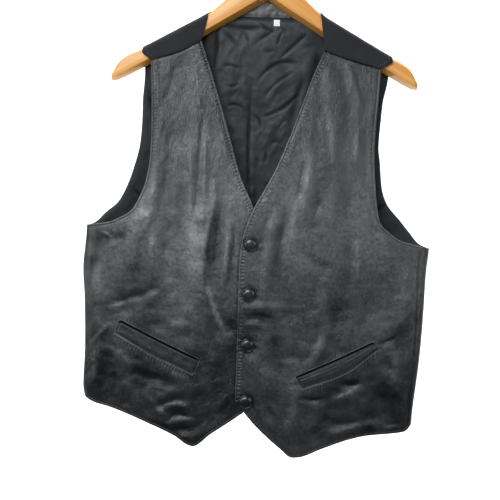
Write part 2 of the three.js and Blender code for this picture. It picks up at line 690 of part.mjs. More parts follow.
function insideBack(back, rows, columns, wrinkles) {
  const inset = backThick + insideGap;
  const at = (i, j) => back.spots[i][j].clone().addScaledVector(back.normals[i][j], -inset);
  return rows.map((i) => columns.map((j, k) => {
    const atEnd = k === 0 || k === columns.length - 1;
    const neighbour = k === 0 ? columns[1] : columns[columns.length - 2];
    const spot = atEnd ? at(i, j).lerp(at(i, neighbour), edgeShare) : at(i, j);
    if (!atEnd) spot.y -= reliefAt(wrinkles, spot.x, -throatDrop - spot.z);
    return spot;
  }));
}

function range(from, to) {
  return Array.from({ length: to - from + 1 }, (_, i) => from + i);
}

function liningWall(back) {
  const first = back.strapRows + back.falls.indexOf(bandDrop);
  const last = back.spots.length - 1;
  const columns = range(0, back.spots[0].length - 1);
  const spots = insideBack(back, range(first, last), columns, folds.lining);
  spots[0] = spots[0].map((spot, j) => spot.clone().lerp(spots[1][j], bandShare));
  const end = spots.length - 1;
  spots[end] = spots[end].map((spot, j) => spot.clone().lerp(spots[end - 1][j], hemShare));
  return wallOver(spots, liningThick, () => true, true);
}

function facingWall(back) {
  const first = back.strapRows;
  const last = back.strapRows + back.falls.indexOf(bandDrop);
  const columns = range(strapColumns + 1, strapColumns + neckColumns - 1);
  const spots = insideBack(back, range(first, last), columns, []);
  return wallOver(spots, facingThick, () => true, true);
}

// Pocket welts lie on the fronts
function weltWall(side, front) {
  const edgeAt = (rows) => {
    const drop = smooth(rows, 'x', 'drop');
    const [from, to] = [rows[0].x, rows[rows.length - 1].x];
    return (s) => ({ x: lerp(from, to, s), drop: drop(lerp(from, to, s)) });
  };
  const upper = edgeAt(welts[side].upper);
  const lower = edgeAt(welts[side].lower);
  const along = 12;
  const across = 2;
  const spots = [];
  for (let i = 0; i <= across; i += 1) {
    const row = [];
    for (let j = 0; j <= along; j += 1) {
      const a = upper(j / along);
      const b = lower(j / along);
      const x = lerp(a.x, b.x, i / across);
      const drop = lerp(a.drop, b.drop, i / across);
      row.push(point(x, skinAt(front.spots, x, drop) - layerGap - weltThick, drop));
    }
    spots.push(row);
  }
  return wallOver(spots, weltThick, () => true, false);
}

// A domed snap cap, lying on the lap
function snapGeometry() {
  const profile = snapProfile.map((row) => new THREE.Vector2(row.radius, row.height));
  return new THREE.LatheGeometry(profile, 20);
}

function snapSeat(front, drop) {
  const probes = 12;
  let nearest = skinAt(front.spots, edgeLine, drop);
  for (let k = 0; k < probes; k += 1) {
    const angle = (2 * Math.PI * k) / probes;
    const x = edgeLine + snapRadius * Math.cos(angle);
    nearest = Math.min(nearest, skinAt(front.spots, x, drop + snapRadius * Math.sin(angle)));
  }
  return nearest - layerGap;
}

// Hanger
function armSection(row, x) {
  const topArc = 6;
  const roundedShare = 0.7; // of the front face's height, at most
  const arcHeight = Math.min(woodHalf, (row.front - row.top) * roundedShare);
  const section = [point(x, -woodHalf, row.front)];
  for (let k = 0; k <= topArc; k += 1) {
    const angle = (Math.PI * k) / topArc;
    const drop = row.top + arcHeight * (1 - Math.sin(angle));
    section.push(point(x, -woodHalf * Math.cos(angle), drop));
  }
  section.push(point(x, woodHalf, row.back));
  return section;
}

function hangerWood() {
  const leftward = [...arm].reverse().slice(0, -1);
  const sections = [
    ...leftward.map((row) => armSection(row, hangerMiddle - row.out)),
    ...arm.map((row) => armSection(row, hangerMiddle + row.out)),
  ];
  return loft(sections, false);
}

function hangerHook() {
  const base = -throatDrop - arm[0].top + 0.3; // just clear of the wood
  const centre = wireRadius - hookRadius;
  const spots = shank.map((row) => new THREE.Vector3(row.x, 0, base + row.rise));
  const bow = { from: -52, to: 214, step: 14 }; // degrees round the hook
  for (let degrees = bow.from; degrees <= bow.to; degrees += bow.step) {
    const angle = THREE.MathUtils.degToRad(degrees);
    const x = hookRadius * Math.cos(angle);
    spots.push(new THREE.Vector3(x, 0, centre + hookRadius * Math.sin(angle)));
  }
  const curve = new THREE.CatmullRomCurve3(spots, false, 'centripetal');
  const steps = 34;
  const sides = 8;
  const ringAt = (spot, tangent, radius) => {
    const aside = new THREE.Vector3(tangent.z, 0, -tangent.x);
    const section = [];
    for (let k = 0; k < sides; k += 1) {
      const angle = (2 * Math.PI * k) / sides;
      const place = spot.clone().addScaledVector(aside, radius * Math.cos(angle));
      place.y += radius * Math.sin(angle);
      section.push(place);
    }
    return section;
  };
  const up = new THREE.Vector3(0, 0, 1);
  const sections = collar.map((row) => (
    ringAt(new THREE.Vector3(0, 0, base + row.rise), up, row.radius)
  ));
  for (let k = 0; k <= steps; k += 1) {
    const tangent = curve.getTangentAt(k / steps);
    sections.push(ringAt(curve.getPointAt(k / steps), tangent, wireRadius));
  }
  const endTangent = curve.getTangentAt(1);
  const rounded = { reach: 1.2, share: 0.6 }; // the wire's end
  const tip = curve.getPointAt(1).addScaledVector(endTangent, rounded.reach);
  sections.push(ringAt(tip, endTangent, wireRadius * rounded.share));
  for (const section of sections) {
    for (const place of section) place.x += hangerMiddle;
  }
  return loft(sections, true);
}

// The mesh for each piece; the vest is moved across so that the hook hangs at x = 0.
const group = new THREE.Group();
const hung = new THREE.Group();
hung.position.x = -hangerMiddle;
group.add(hung);

function addPiece(name, geometry, color, roughness, metalness = 0) {
  const material = new THREE.MeshStandardMaterial({ color, roughness, metalness });
  const mesh = new THREE.Mesh(geometry, material);
  mesh.name = name;
  hung.add(mesh);
  return mesh;
}

const leatherColor = 0x3b3d3c;
const fronts = { left: frontWall('left'), right: frontWall('right') };
for (const side of ['left', 'right']) {
  addPiece(`front_${side}`, fronts[side].geometry, leatherColor, 0.5);
  addPiece(`pocket_welt_${side}`, weltWall(side, fronts[side]).geometry, leatherColor, 0.5);
}

const back = backWall();
const lining = liningWall(back);
addPiece('back', back.geometry, 0x1e2126, 0.55);
addPiece('back_lining', lining.geometry, 0x24282b, 0.45);
addPiece('back_neck_facing', facingWall(back).geometry, 0x6f706c, 0.6);

const labelSkin = Math.min(
  ...[-0.5, 0.5].flatMap((i) => [-0.5, 0.5].map((j) => (
    skinAt(lining.inside, label.x + i * label.width, label.drop + j * label.height)
  ))),
);
const labelMesh = addPiece(
  'neck_label',
  new THREE.BoxGeometry(label.width, label.thick, label.height),
  0xe8e4df,
  0.8,
);
labelMesh.position.copy(point(label.x, labelSkin - layerGap - label.thick, label.drop));

snapDrops.forEach((drop, i) => {
  const snap = addPiece(`snap_cap_${i + 1}`, snapGeometry(), 0x1a1b1d, 0.3, 0.2);
  snap.rotation.x = Math.PI;
  snap.position.copy(point(edgeLine, snapSeat(fronts.right, drop), drop));
});

addPiece('hanger_wood', hangerWood(), 0xd9964a, 0.45);
addPiece('hanger_hook', hangerHook(), 0xb9bcc0, 0.3, 1);

export default group;
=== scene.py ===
import json
import math

import bmesh
import bpy
import numpy as np
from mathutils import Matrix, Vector
from mathutils.bvhtree import BVHTree
from mathutils.kdtree import KDTree

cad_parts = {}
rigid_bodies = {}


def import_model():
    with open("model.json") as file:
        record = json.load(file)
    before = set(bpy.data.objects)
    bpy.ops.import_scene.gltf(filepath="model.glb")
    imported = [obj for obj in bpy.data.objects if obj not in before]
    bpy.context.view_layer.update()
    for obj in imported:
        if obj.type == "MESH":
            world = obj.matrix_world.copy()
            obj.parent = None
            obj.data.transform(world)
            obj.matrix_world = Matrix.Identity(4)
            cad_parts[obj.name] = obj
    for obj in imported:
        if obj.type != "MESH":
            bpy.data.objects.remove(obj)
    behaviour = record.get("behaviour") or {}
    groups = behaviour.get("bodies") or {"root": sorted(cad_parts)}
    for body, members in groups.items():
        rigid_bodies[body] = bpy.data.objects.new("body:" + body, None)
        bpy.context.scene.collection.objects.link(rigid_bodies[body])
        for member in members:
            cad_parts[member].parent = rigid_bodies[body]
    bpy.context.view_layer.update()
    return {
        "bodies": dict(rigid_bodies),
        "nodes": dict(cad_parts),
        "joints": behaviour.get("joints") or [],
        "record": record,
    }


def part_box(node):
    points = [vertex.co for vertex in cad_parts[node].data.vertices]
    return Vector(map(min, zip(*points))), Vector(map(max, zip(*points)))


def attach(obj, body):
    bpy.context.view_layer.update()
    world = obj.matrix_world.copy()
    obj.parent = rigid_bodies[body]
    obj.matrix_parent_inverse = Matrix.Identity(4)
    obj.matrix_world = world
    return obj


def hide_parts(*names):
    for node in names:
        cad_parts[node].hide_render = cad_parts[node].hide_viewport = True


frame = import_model()
print("frame loaded:", len(frame["nodes"]), "nodes")

# The vest is worked out in millimetres: x across it, y from front to back, and a drop
# measured down from the throat of the hanger. toFrame turns that into the frame's metres.
hanging = {"throatDrop": 96, "middle": 2.5, "woodHalf": 7.5}
wall = {"leather": 1.8, "back": 1.2, "lining": 1.0, "facing": 1.2, "welt": 1.4}
seam = {"layer": 0.5, "sideTurn": 1.05}


def table(columns, *rows):
    return dict(zip(columns.split(), np.array(rows, float).T))


def rowsOf(cut):
    return zip(*cut.values())


def lerp(a, b, t):
    return a + (b - a) * t


def ease(t):
    s = np.clip(t, 0, 1)
    return s * s * (3 - 2 * s)


def bell(distance, width):
    return np.exp(-((distance / width) ** 2))


def toFrame(points):
    moved = points - np.array([hanging["middle"], 0, hanging["throatDrop"]])
    return moved / 1000


# A cubic through a table's rows that never swings past a row's own value
def smooth(rows, at, key):
    xs, ys = rows[at], rows[key]
    rise = np.diff(ys) / np.diff(xs)
    product = rise[:-1] * rise[1:]
    total = np.where(product > 0, rise[:-1] + rise[1:], 1)
    slopes = np.concatenate([rise[:1], np.where(product > 0, 2 * product / total, 0), rise[-1:]])

    def value(x):
        i = np.clip(np.searchsorted(xs, x, side="left") - 1, 0, len(xs) - 2)
        width = xs[i + 1] - xs[i]
        t = np.clip((x - xs[i]) / width, 0, 1)
        early = (1 + 2 * t) * (1 - t) ** 2 * ys[i] + t * t * (3 - 2 * t) * ys[i + 1]
        return early + width * t * (1 - t) * ((1 - t) * slopes[i] - t * slopes[i + 1])

    return value


# Soft random waves of a given size, the same on each run
def softNoise(x, y, size, seed):
    count = 64
    lattice = np.random.default_rng(seed).uniform(-1, 1, (count, count))
    turned = 0.6 * seed
    across = (x * math.cos(turned) - y * math.sin(turned)) / size + 100
    down = (x * math.sin(turned) + y * math.cos(turned)) / size + 100
    ix, iy = np.floor(across).astype(int), np.floor(down).astype(int)
    tx, ty = (t**3 * (t * (t * 6 - 15) + 10) for t in (across - ix, down - iy))
    at = [[lattice[(iy + j) % count, (ix + i) % count] for i in (0, 1)] for j in (0, 1)]
    return lerp(lerp(*at[0], tx), lerp(*at[1], tx), ty)


# The ring that the cloth follows at each drop: its half widths and depths, and how square
# it is, from nearly flat over the hanger to rounded at the waist
girth = table(
    "drop left right front back square",
    (-40, 254, 254, 10.2, 12, 8),
    (60, 254, 254, 10.2, 12, 8),
    (100, 253, 253, 11.8, 13, 7),
    (170, 251, 252, 18, 16, 5),
    (250, 249, 251, 26, 20, 3.4),
    (335, 248, 249.5, 31, 22, 2.8),
    (392, 251.5, 245, 32, 22, 2.6),
    (440, 248, 243.5, 32, 21.5, 2.6),
    (512, 245.5, 239.5, 31, 21, 2.6),
    (560, 246.3, 234.5, 30, 20, 2.6),
    (590, 241.5, 231.5, 29, 20, 2.6),
    (660, 238, 228, 28, 20, 2.6),
)
ring = {key: smooth(girth, "drop", key) for key in ("left", "right", "front", "back", "square")}


def halfWidth(side, drop):
    return np.where(side < 0, ring["left"](drop), ring["right"](drop))


# A turn is the place round the ring: -1 and 1 are the two outlines, 0 the middle of the
# front and 2 the middle of the back.
def turnAt(x, drop, behind):
    turn = np.arcsin(x / halfWidth(x, drop)) * 2 / math.pi
    return 2 - turn if behind else turn


def ringPoint(turn, drop):
    across = np.sin(math.pi * turn / 2)
    x = across * halfWidth(across, drop)
    square = ring["square"](drop)
    depth = (1 - np.minimum(np.abs(across), 1) ** square) ** (1 / square)
    behind = np.abs(turn) > 1
    y = np.where(behind, depth * ring["back"](drop), -depth * ring["front"](drop))
    return x, y, depth


# A path through spots round the ring; its parameter runs evenly along its length.
def pathThrough(turns, drops):
    x, y, _ = ringPoint(turns, drops)
    steps = np.sqrt(np.diff(x) ** 2 + np.diff(y) ** 2 + np.diff(drops) ** 2)
    rows = {"length": np.concatenate([[0], np.cumsum(steps)]), "turn": turns, "drop": drops}
    turn, drop = smooth(rows, "length", "turn"), smooth(rows, "length", "drop")
    whole = rows["length"][-1]
    return lambda t: (turn(t * whole), drop(t * whole))


def joined(upper, lower, corner):
    def value(t):
        high, low = upper(np.minimum(t / corner, 1)), lower(np.clip((t - corner) / (1 - corner), 0, 1))
        return np.where(t < corner, high[0], low[0]), np.where(t < corner, high[1], low[1])

    return value


# Creases, each given along a bent line through three spots. One rises out of the
# cloth, or sinks where rise is negative; reach is its half width and skew makes the side
# to the right of its run the broader one.
creaseColumns = "x1 drop1 x2 drop2 x3 drop3 rise reach skew"
creaseSettings = {
    "spots": 15, "window": 3.2, "endFade": 0.7, "uneven": 0.5, "unevenSize": 17, "seed": 200,
}


# Places on a bent line that passes its second spot half way
def bentLine(first, second, third, t):
    bend = 2 * second - (first + third) / 2
    return (1 - t) ** 2 * first + 2 * t * (1 - t) * bend + t * t * third


def creaseField(creases, x, drop):
    settings = creaseSettings
    total = np.zeros_like(x)
    t = np.linspace(0, 1, settings["spots"])
    for k, (x1, drop1, x2, drop2, x3, drop3, rise, reach, skew) in enumerate(rowsOf(creases)):
        lineX, lineDrop = bentLine(x1, x2, x3, t), bentLine(drop1, drop2, drop3, t)
        far = settings["window"] * reach * (1 + abs(skew))
        near = (x > lineX.min() - far) & (x < lineX.max() + far)
        near &= (drop > lineDrop.min() - far) & (drop < lineDrop.max() + far)
        px, pd = x[near], drop[near]
        best, side, along = np.full(px.shape, 1e9), np.ones(px.shape), np.zeros(px.shape)
        for n in range(len(t) - 1):
            runX, runDrop = lineX[n + 1] - lineX[n], lineDrop[n + 1] - lineDrop[n]
            share = (px - lineX[n]) * runX + (pd - lineDrop[n]) * runDrop
            share = np.clip(share / (runX**2 + runDrop**2), 0, 1)
            awayX, awayDrop = px - lineX[n] - share * runX, pd - lineDrop[n] - share * runDrop
            gap = np.hypot(awayX, awayDrop)
            closer = gap < best
            best = np.where(closer, gap, best)
            side = np.where(closer, np.sign(awayDrop * runX - awayX * runDrop), side)
            along = np.where(closer, (n + share) / (len(t) - 1), along)
        width = reach * np.where(side < 0, 1 + skew, 1 - skew)
        fade = np.sin(math.pi * np.clip(along, 0.001, 0.999)) ** settings["endFade"]
        uneven = softNoise(px, pd, settings["unevenSize"], k + settings["seed"])
        total[near] += rise * bell(best, width) * fade * (1 + settings["uneven"] * uneven)
    return total


# Meshes
def newMesh(name, points, faces, materials, slots=None, uv=None, values=None):
    mesh = bpy.data.meshes.new(name)
    faces = np.asarray(faces, np.int32)
    corners = faces.shape[1]
    mesh.vertices.add(len(points))
    mesh.vertices.foreach_set("co", np.asarray(points, np.float32).ravel())
    mesh.loops.add(faces.size)
    mesh.loops.foreach_set("vertex_index", faces.ravel())
    mesh.polygons.add(len(faces))
    mesh.polygons.foreach_set("loop_start", np.arange(0, faces.size, corners, dtype=np.int32))
    if slots is not None:
        mesh.polygons.foreach_set("material_index", np.asarray(slots, np.int32))
    mesh.polygons.foreach_set("use_smooth", np.ones(len(faces), bool))
    mesh.update(calc_edges=True)
    if uv is not None:
        layer = mesh.uv_layers.new(name="cloth")
        layer.data.foreach_set("uv", np.asarray(uv, np.float32)[faces.ravel()].ravel())
    for key, field in (values or {}).items():
        attribute = mesh.attributes.new(key, "FLOAT", "POINT")
        attribute.data.foreach_set("value", np.asarray(field, np.float32))
    for material in materials:
        mesh.materials.append(material)
    piece = bpy.data.objects.new(name, mesh)
    bpy.context.scene.collection.objects.link(piece)
    return piece


# Closes open rings of a mesh with flat faces
def addFans(piece, loops):
    work = bmesh.new()
    work.from_mesh(piece.data)
    work.verts.ensure_lookup_table()
    for loop in loops:
        face = work.faces.new([work.verts[k] for k in loop])
        face.smooth = True
    bmesh.ops.recalc_face_normals(work, faces=work.faces)
    work.to_mesh(piece.data)
    work.free()


# A closed solid through rings of points, one ring after another
def tube(name, points, material, flip=False, uv=None, values=None):
    rows, count = points.shape[:2]
    index = np.arange(rows * count).reshape(rows, count)
    turned = np.roll(index, -1, axis=1)
    faces = np.stack([index[:-1], turned[:-1], turned[1:], index[1:]], -1).reshape(-1, 4)
    caps = [index[0, ::-1].tolist(), index[-1].tolist()]
    if flip:
        faces = faces[:, [0, 3, 2, 1]]
        caps = [cap[::-1] for cap in caps]
    piece = newMesh(name, points.reshape(-1, 3), faces, [material], uv=uv, values=values)
    addFans(piece, caps)
    return piece


def settle(piece, slotName, *nodes):
    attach(piece, "root")
    if nodes:
        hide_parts(*nodes)


# Adds what each cell of a grid holds to its four corners
def toCorners(held):
    rows, columns = held.shape[:2]
    total = np.zeros((rows + 1, columns + 1, *held.shape[2:]))
    for i in (0, 1):
        for j in (0, 1):
            total[i:rows + i, j:columns + j] += held
    return total


def allCells(points):
    return np.ones((points.shape[0] - 1, points.shape[1] - 1), bool)


# Normals of a grid that may lack cells, on the side that is worn outwards
def gridNormals(points, flip, cells=None):
    cells = allCells(points) if cells is None else cells
    across = points[:-1, 1:] - points[1:, :-1]
    down = points[1:, 1:] - points[:-1, :-1]
    face = np.cross(across, down)
    face /= np.maximum(np.linalg.norm(face, axis=-1, keepdims=True), 1e-9)
    normals = toCorners(face * cells[..., None] * (1 if flip else -1))
    return normals / np.maximum(np.linalg.norm(normals, axis=-1, keepdims=True), 1e-9)


# A closed wall between an outer and an inner grid of points; the first material is outside.
def closedWall(name, outer, inner, flip, materials, uv, values, cells=None):
    cells = allCells(outer) if cells is None else cells
    used = toCorners(cells) > 0
    count = int(used.sum())
    index = np.full(used.shape, -1)
    index[used] = np.arange(count)
    a, b, c, d = index[:-1, :-1], index[1:, :-1], index[1:, 1:], index[:-1, 1:]
    quads = np.stack([a, b, c, d], -1)[cells]
    padded = np.pad(cells, 1)
    sides = ((padded[:-2, 1:-1], a, d), (padded[2:, 1:-1], c, b),
             (padded[1:-1, :-2], b, a), (padded[1:-1, 2:], d, c))
    rims = []
    for neighbour, start, end in sides:
        edge = cells & ~neighbour
        first, last = start[edge], end[edge]
        rims.append(np.stack([first, last, last + count, first + count], -1))
    rims = np.concatenate(rims)
    faces = np.concatenate([quads, quads[:, ::-1] + count, rims])
    if flip:
        faces = faces[:, ::-1]
    slots = np.concatenate([np.zeros(len(quads)), np.ones(len(quads)), np.zeros(len(rims))])
    points = toFrame(np.concatenate([outer[used], inner[used]]))
    doubled = {key: np.tile(field[used], 2) for key, field in values.items()}
    uvs = np.tile(uv[used] / 1000, (2, 1))
    return newMesh(name, points, faces, materials, slots, uvs, doubled)


# Shares of a length, close together near both ends and even between
def spread(length, count, near):
    steps = np.array(near)
    last = len(steps) - 1
    k = np.arange(count)
    middle = steps[-1] + (k - last) / (count - 1 - 2 * last) * (length - 2 * steps[-1])
    early = steps[np.minimum(k, last)]
    late = length - steps[np.minimum(count - 1 - k, last)]
    return np.where(k <= last, early, np.where(k >= count - 1 - last, late, middle)) / length


# The distance of each point from a line, and how far along the line its nearest spot is
def distanceFrom(points, line):
    fine = np.linspace(0, len(line) - 1, 3 * len(line))
    dense = np.stack([np.interp(fine, np.arange(len(line)), line[:, k]) for k in range(3)], -1)
    steps = np.linalg.norm(np.diff(dense, axis=0), axis=-1)
    lengths = np.concatenate([[0], np.cumsum(steps)])
    tree = KDTree(len(dense))
    for i, spot in enumerate(dense):
        tree.insert(spot, i)
    tree.balance()
    found = [tree.find(spot)[1:] for spot in points.reshape(-1, 3)]
    along = lengths[np.array([index for index, _ in found])]
    gaps = np.array([gap for _, gap in found])
    return gaps.reshape(points.shape[:-1]), along.reshape(points.shape[:-1])


# The line on a grid that keeps one distance from its first column, as a row of stitches does
def lineAt(points, distance, inset, reach=16):
    share = np.array([np.interp(inset, row[:reach], np.arange(reach)) for row in distance])
    low = np.floor(share).astype(int)
    part = (share - low)[:, None]
    rows = np.arange(len(points))
    return lerp(points[rows, low], points[rows, low + 1], part)


# Half the wall's thickness at a distance from its edge, which is round
def roundedHalf(distance, thick):
    half = thick / 2
    share = np.clip(distance / half, 0, 1)
    return half * np.maximum(np.sqrt(np.clip(1 - (1 - share) ** 2, 0, 1)), 0.12)


# Materials
def newMaterial(name):
    material = bpy.data.materials.new(name)
    material.use_nodes = True
    return material, material.node_tree, material.node_tree.nodes["Principled BSDF"]


# Puts each value on its input, or links it there where it is another node's output
def feed(tree, inputs, values):
    for key, value in values.items():
        if isinstance(value, bpy.types.NodeSocket):
            tree.links.new(value, inputs[key])
        else:
            inputs[key].default_value = value


def addNode(tree, kind, values=None, **settings):
    node = tree.nodes.new(kind)
    for key, value in settings.items():
        setattr(node, key, value)
    feed(tree, node.inputs, values or {})
    return node


def mathNode(tree, operation, *values):
    return addNode(tree, "ShaderNodeMath", dict(enumerate(values)), operation=operation).outputs[0]


# Several values made one by an operation, each times its own share first
def combined(tree, operation, *terms):
    parts = [part if share == 1 else mathNode(tree, "MULTIPLY", part, share) for part, share in terms]
    total = parts[0]
    for part in parts[1:]:
        total = mathNode(tree, operation, total, part)
    return total


def paint(colour):
    return colour if isinstance(colour, bpy.types.NodeSocket) else (*colour, 1)


def mixColour(tree, share, first, second):
    values = {0: share, 6: paint(first), 7: paint(second)}
    return addNode(tree, "ShaderNodeMix", values, data_type="RGBA").outputs[2]


def remap(tree, value, low, high, toLow=0.0, toHigh=1.0):
    values = {0: value, 1: low, 2: high, 3: toLow, 4: toHigh}
    return addNode(tree, "ShaderNodeMapRange", values).outputs[0]


def noiseNode(tree, vector, scale, detail=3.0, rough=0.5, warp=0.0):
    values = {"Vector": vector, "Scale": scale, "Detail": detail, "Roughness": rough, "Distortion": warp}
    return addNode(tree, "ShaderNodeTexNoise", values).outputs["Fac"]


def stretched(tree, vector, scale, turn=(0, 0, 0)):
    values = {"Vector": vector, "Scale": scale, "Rotation": turn}
    return addNode(tree, "ShaderNodeMapping", values).outputs[0]


def placeOf(tree, kind):
    return addNode(tree, "ShaderNodeTexCoord").outputs[kind]


def attributeOf(tree, name):
    return addNode(tree, "ShaderNodeAttribute", attribute_name=name).outputs["Fac"]


def bumpInto(tree, shader, height, strength, distance, over=None):
    values = {"Height": height, "Strength": strength, "Distance": distance}
    if over:
        values["Normal"] = over
    bump = addNode(tree, "ShaderNodeBump", values).outputs[0]
    feed(tree, shader.inputs, {"Normal": bump})
    return bump


def newGroup(name, inputs, outputs, treeKind="ShaderNodeTree"):
    group = bpy.data.node_groups.new(name, treeKind)
    for way, sockets in (("INPUT", inputs), ("OUTPUT", outputs)):
        for key, (kind, value) in sockets.items():
            socket = group.interface.new_socket(name=key, in_out=way, socket_type="NodeSocket" + kind)
            if value is not None:
                socket.default_value = value
    return group, group.nodes.new("NodeGroupInput").outputs, group.nodes.new("NodeGroupOutput").inputs


# Grain leather: pebbled and creased, mottled in tone, and paler where it is worn and where painted sheen
# falls
def hideGroup():
    tree, given, result = newGroup(
        "hideGrain",
        {"Vector": ("Vector", None), "WearAndSheen": ("Float", 0.0), "Dark": ("Color", None),
         "Pale": ("Color", None), "WornAndSheen": ("Color", None)},
        {"Color": ("Color", None), "Roughness": ("Float", None), "Height": ("Float", None)},
    )
    vector = given["Vector"]
    streaks = noiseNode(tree, stretched(tree, vector, (1, 1, 0.45)), 42, 5, 0.62, 0.6)
    clouds = noiseNode(tree, vector, 17, 4, 0.55, 0.4)
    mottle = noiseNode(tree, vector, 210, 6, 0.72, 0.2)
    wrinkles = noiseNode(tree, stretched(tree, vector, (1, 1, 0.6)), 150, 4, 0.62, 0.4)
    puffs = noiseNode(tree, stretched(tree, vector, (1, 1, 0.5)), 60, 2, 0.5, 0.4)
    veins = noiseNode(tree, stretched(tree, vector, (1, 1, 0.8)), 75, 4, 0.6, 0.7)
    veins = mathNode(tree, "ABSOLUTE", mathNode(tree, "SUBTRACT", veins, 0.5))
    veins = remap(tree, veins, 0.0, 0.028)
    pebbles = addNode(tree, "ShaderNodeTexVoronoi", {"Vector": vector, "Scale": 620.0, "Randomness": 1.0},
                      feature="DISTANCE_TO_EDGE")
    furrow = remap(tree, pebbles.outputs["Distance"], 0.0, 0.22)
    tone = combined(tree, "ADD", (streaks, 0.55), (clouds, 0.45))
    tone = remap(tree, combined(tree, "ADD", (tone, 0.65), (mottle, 0.35)), 0.34, 0.66)
    tone = mathNode(tree, "MULTIPLY", tone, remap(tree, veins, 0.0, 1.0, 0.84, 1.0))
    base = mixColour(tree, tone, given["Dark"], given["Pale"])
    # Paler where the leather is worn and where painted sheen falls
    wearAndSheenShare = mathNode(tree, "MULTIPLY", given["WearAndSheen"], remap(tree, mottle, 0.3, 0.62, 0.25, 1.25))
    wearAndSheenShare = mathNode(tree, "MINIMUM", wearAndSheenShare, 1.0)
    rough = combined(tree, "ADD", (remap(tree, mottle, 0.3, 0.7, -0.07, 0.1), 1), (wearAndSheenShare, -0.05),
                     (remap(tree, clouds, 0.35, 0.65, 0.06, -0.04), 1))
    feed(tree, result, {
        "Color": mixColour(tree, wearAndSheenShare, base, given["WornAndSheen"]),
        "Roughness": mathNode(tree, "ADD", rough, 0.34),
        "Height": combined(tree, "ADD", (furrow, 0.12), (wrinkles, 1), (puffs, 1.4), (veins, 0.16)),
    })
    return tree


# Woven cloth: a fine twill with slight unevenness in tone
def twillGroup():
    tree, given, result = newGroup(
        "twillWeave",
        {"Vector": ("Vector", None), "Dark": ("Color", None), "Pale": ("Color", None),
         "WearAndSheen": ("Float", 0.0)},
        {"Color": ("Color", None), "Height": ("Float", None)},
    )
    vector = given["Vector"]
    threads = []
    for turn in (0.6, math.pi / 2 + 0.6):
        values = {"Vector": stretched(tree, vector, (1, 1, 1), (0, 0, turn)), "Scale": 420.0,
                  "Distortion": 0.25, "Detail": 1.0}
        threads.append(addNode(tree, "ShaderNodeTexWave", values).outputs["Fac"])
    clouds = noiseNode(tree, vector, 16, 4, 0.6, 0.4)
    slubs = noiseNode(tree, stretched(tree, vector, (1, 0.12, 1)), 380, 3, 0.6)
    tone = remap(tree, combined(tree, "ADD", (clouds, 0.7), (slubs, 0.3)), 0.38, 0.64)
    # Paler where the cloth is worn and where painted sheen falls
    tone = mathNode(tree, "MINIMUM", mathNode(tree, "ADD", tone, given["WearAndSheen"]), 1.0)
    feed(tree, result, {
        "Color": mixColour(tree, tone, given["Dark"], given["Pale"]),
        "Height": combined(tree, "ADD", (threads[0], 0.7), (threads[1], 0.3), (slubs, 0.6)),
    })
    return tree


# One where a value lies between two levels, with soft ends
def between(tree, value, low, high, soft=0.25):
    rising = remap(tree, value, low - soft, low + soft)
    falling = remap(tree, value, high - soft, high + soft, 1.0, 0.0)
    return mathNode(tree, "MULTIPLY", rising, falling)


# What the seams do to the leather beside them, finer than the mesh: small puckers, and the
# slit, grooves and pressed line around a pocket, with painted shade in the slit, grooves,
# pucker troughs and a band round the pocket, and paler pucker crests and pressed line from
# wear and painted sheen. Lengths and heights are in millimetres.
seamSettings = {
    "pitch": 4.9, "slit": (-2.9, 1.0), "slitEnd": (2.7, 3.2), "groove": (0.1, 0.9),
    "line": (3.2, 4.0), "around": (4.3, 5.2, 0.4),
}
seamInputs = {
    "Along": "seamAlong", "Gathered": "gathered", "Outside": "pocketOutside", "Below": "pocketBelow",
}


def seamGroup():
    tree, given, result = newGroup(
        "seamMarks",
        {key: ("Float", 0.0) for key in seamInputs},
        {"Dark": ("Float", None), "WearAndSheen": ("Float", None), "Height": ("Float", None)},
    )
    outside, settings = given["Outside"], seamSettings
    turned = mathNode(tree, "MULTIPLY", given["Along"], 2 * math.pi / settings["pitch"])
    wave = remap(tree, mathNode(tree, "SINE", turned), -1.0, 1.0)
    wave = mathNode(tree, "POWER", wave, 2.5)
    puckers = mathNode(tree, "MULTIPLY", wave, given["Gathered"])
    troughs = mathNode(tree, "MULTIPLY", mathNode(tree, "SUBTRACT", 0.75, wave), given["Gathered"])
    slit = mathNode(tree, "MULTIPLY", between(tree, given["Below"], *settings["slit"]),
                    remap(tree, outside, *settings["slitEnd"], 1.0, 0.0))
    groove, line, around = (between(tree, outside, *settings[key]) for key in ("groove", "line", "around"))
    # Painted shade in the slit, the stitch groove and the troughs of the puckers
    dark = combined(tree, "MAXIMUM", (slit, 1), (groove, 0.9), (troughs, 0.7))
    feed(tree, result, {
        "Dark": combined(tree, "MAXIMUM", (dark, 1), (around, 0.4)),
        "WearAndSheen": combined(tree, "ADD", (line, 0.8), (puckers, 0.6)),
        "Height": combined(tree, "ADD", (puckers, 0.7), (line, 0.4), (dark, -0.5)),
    })
    return tree


hideGrain, twillWeave, seamMarks = hideGroup(), twillGroup(), seamGroup()


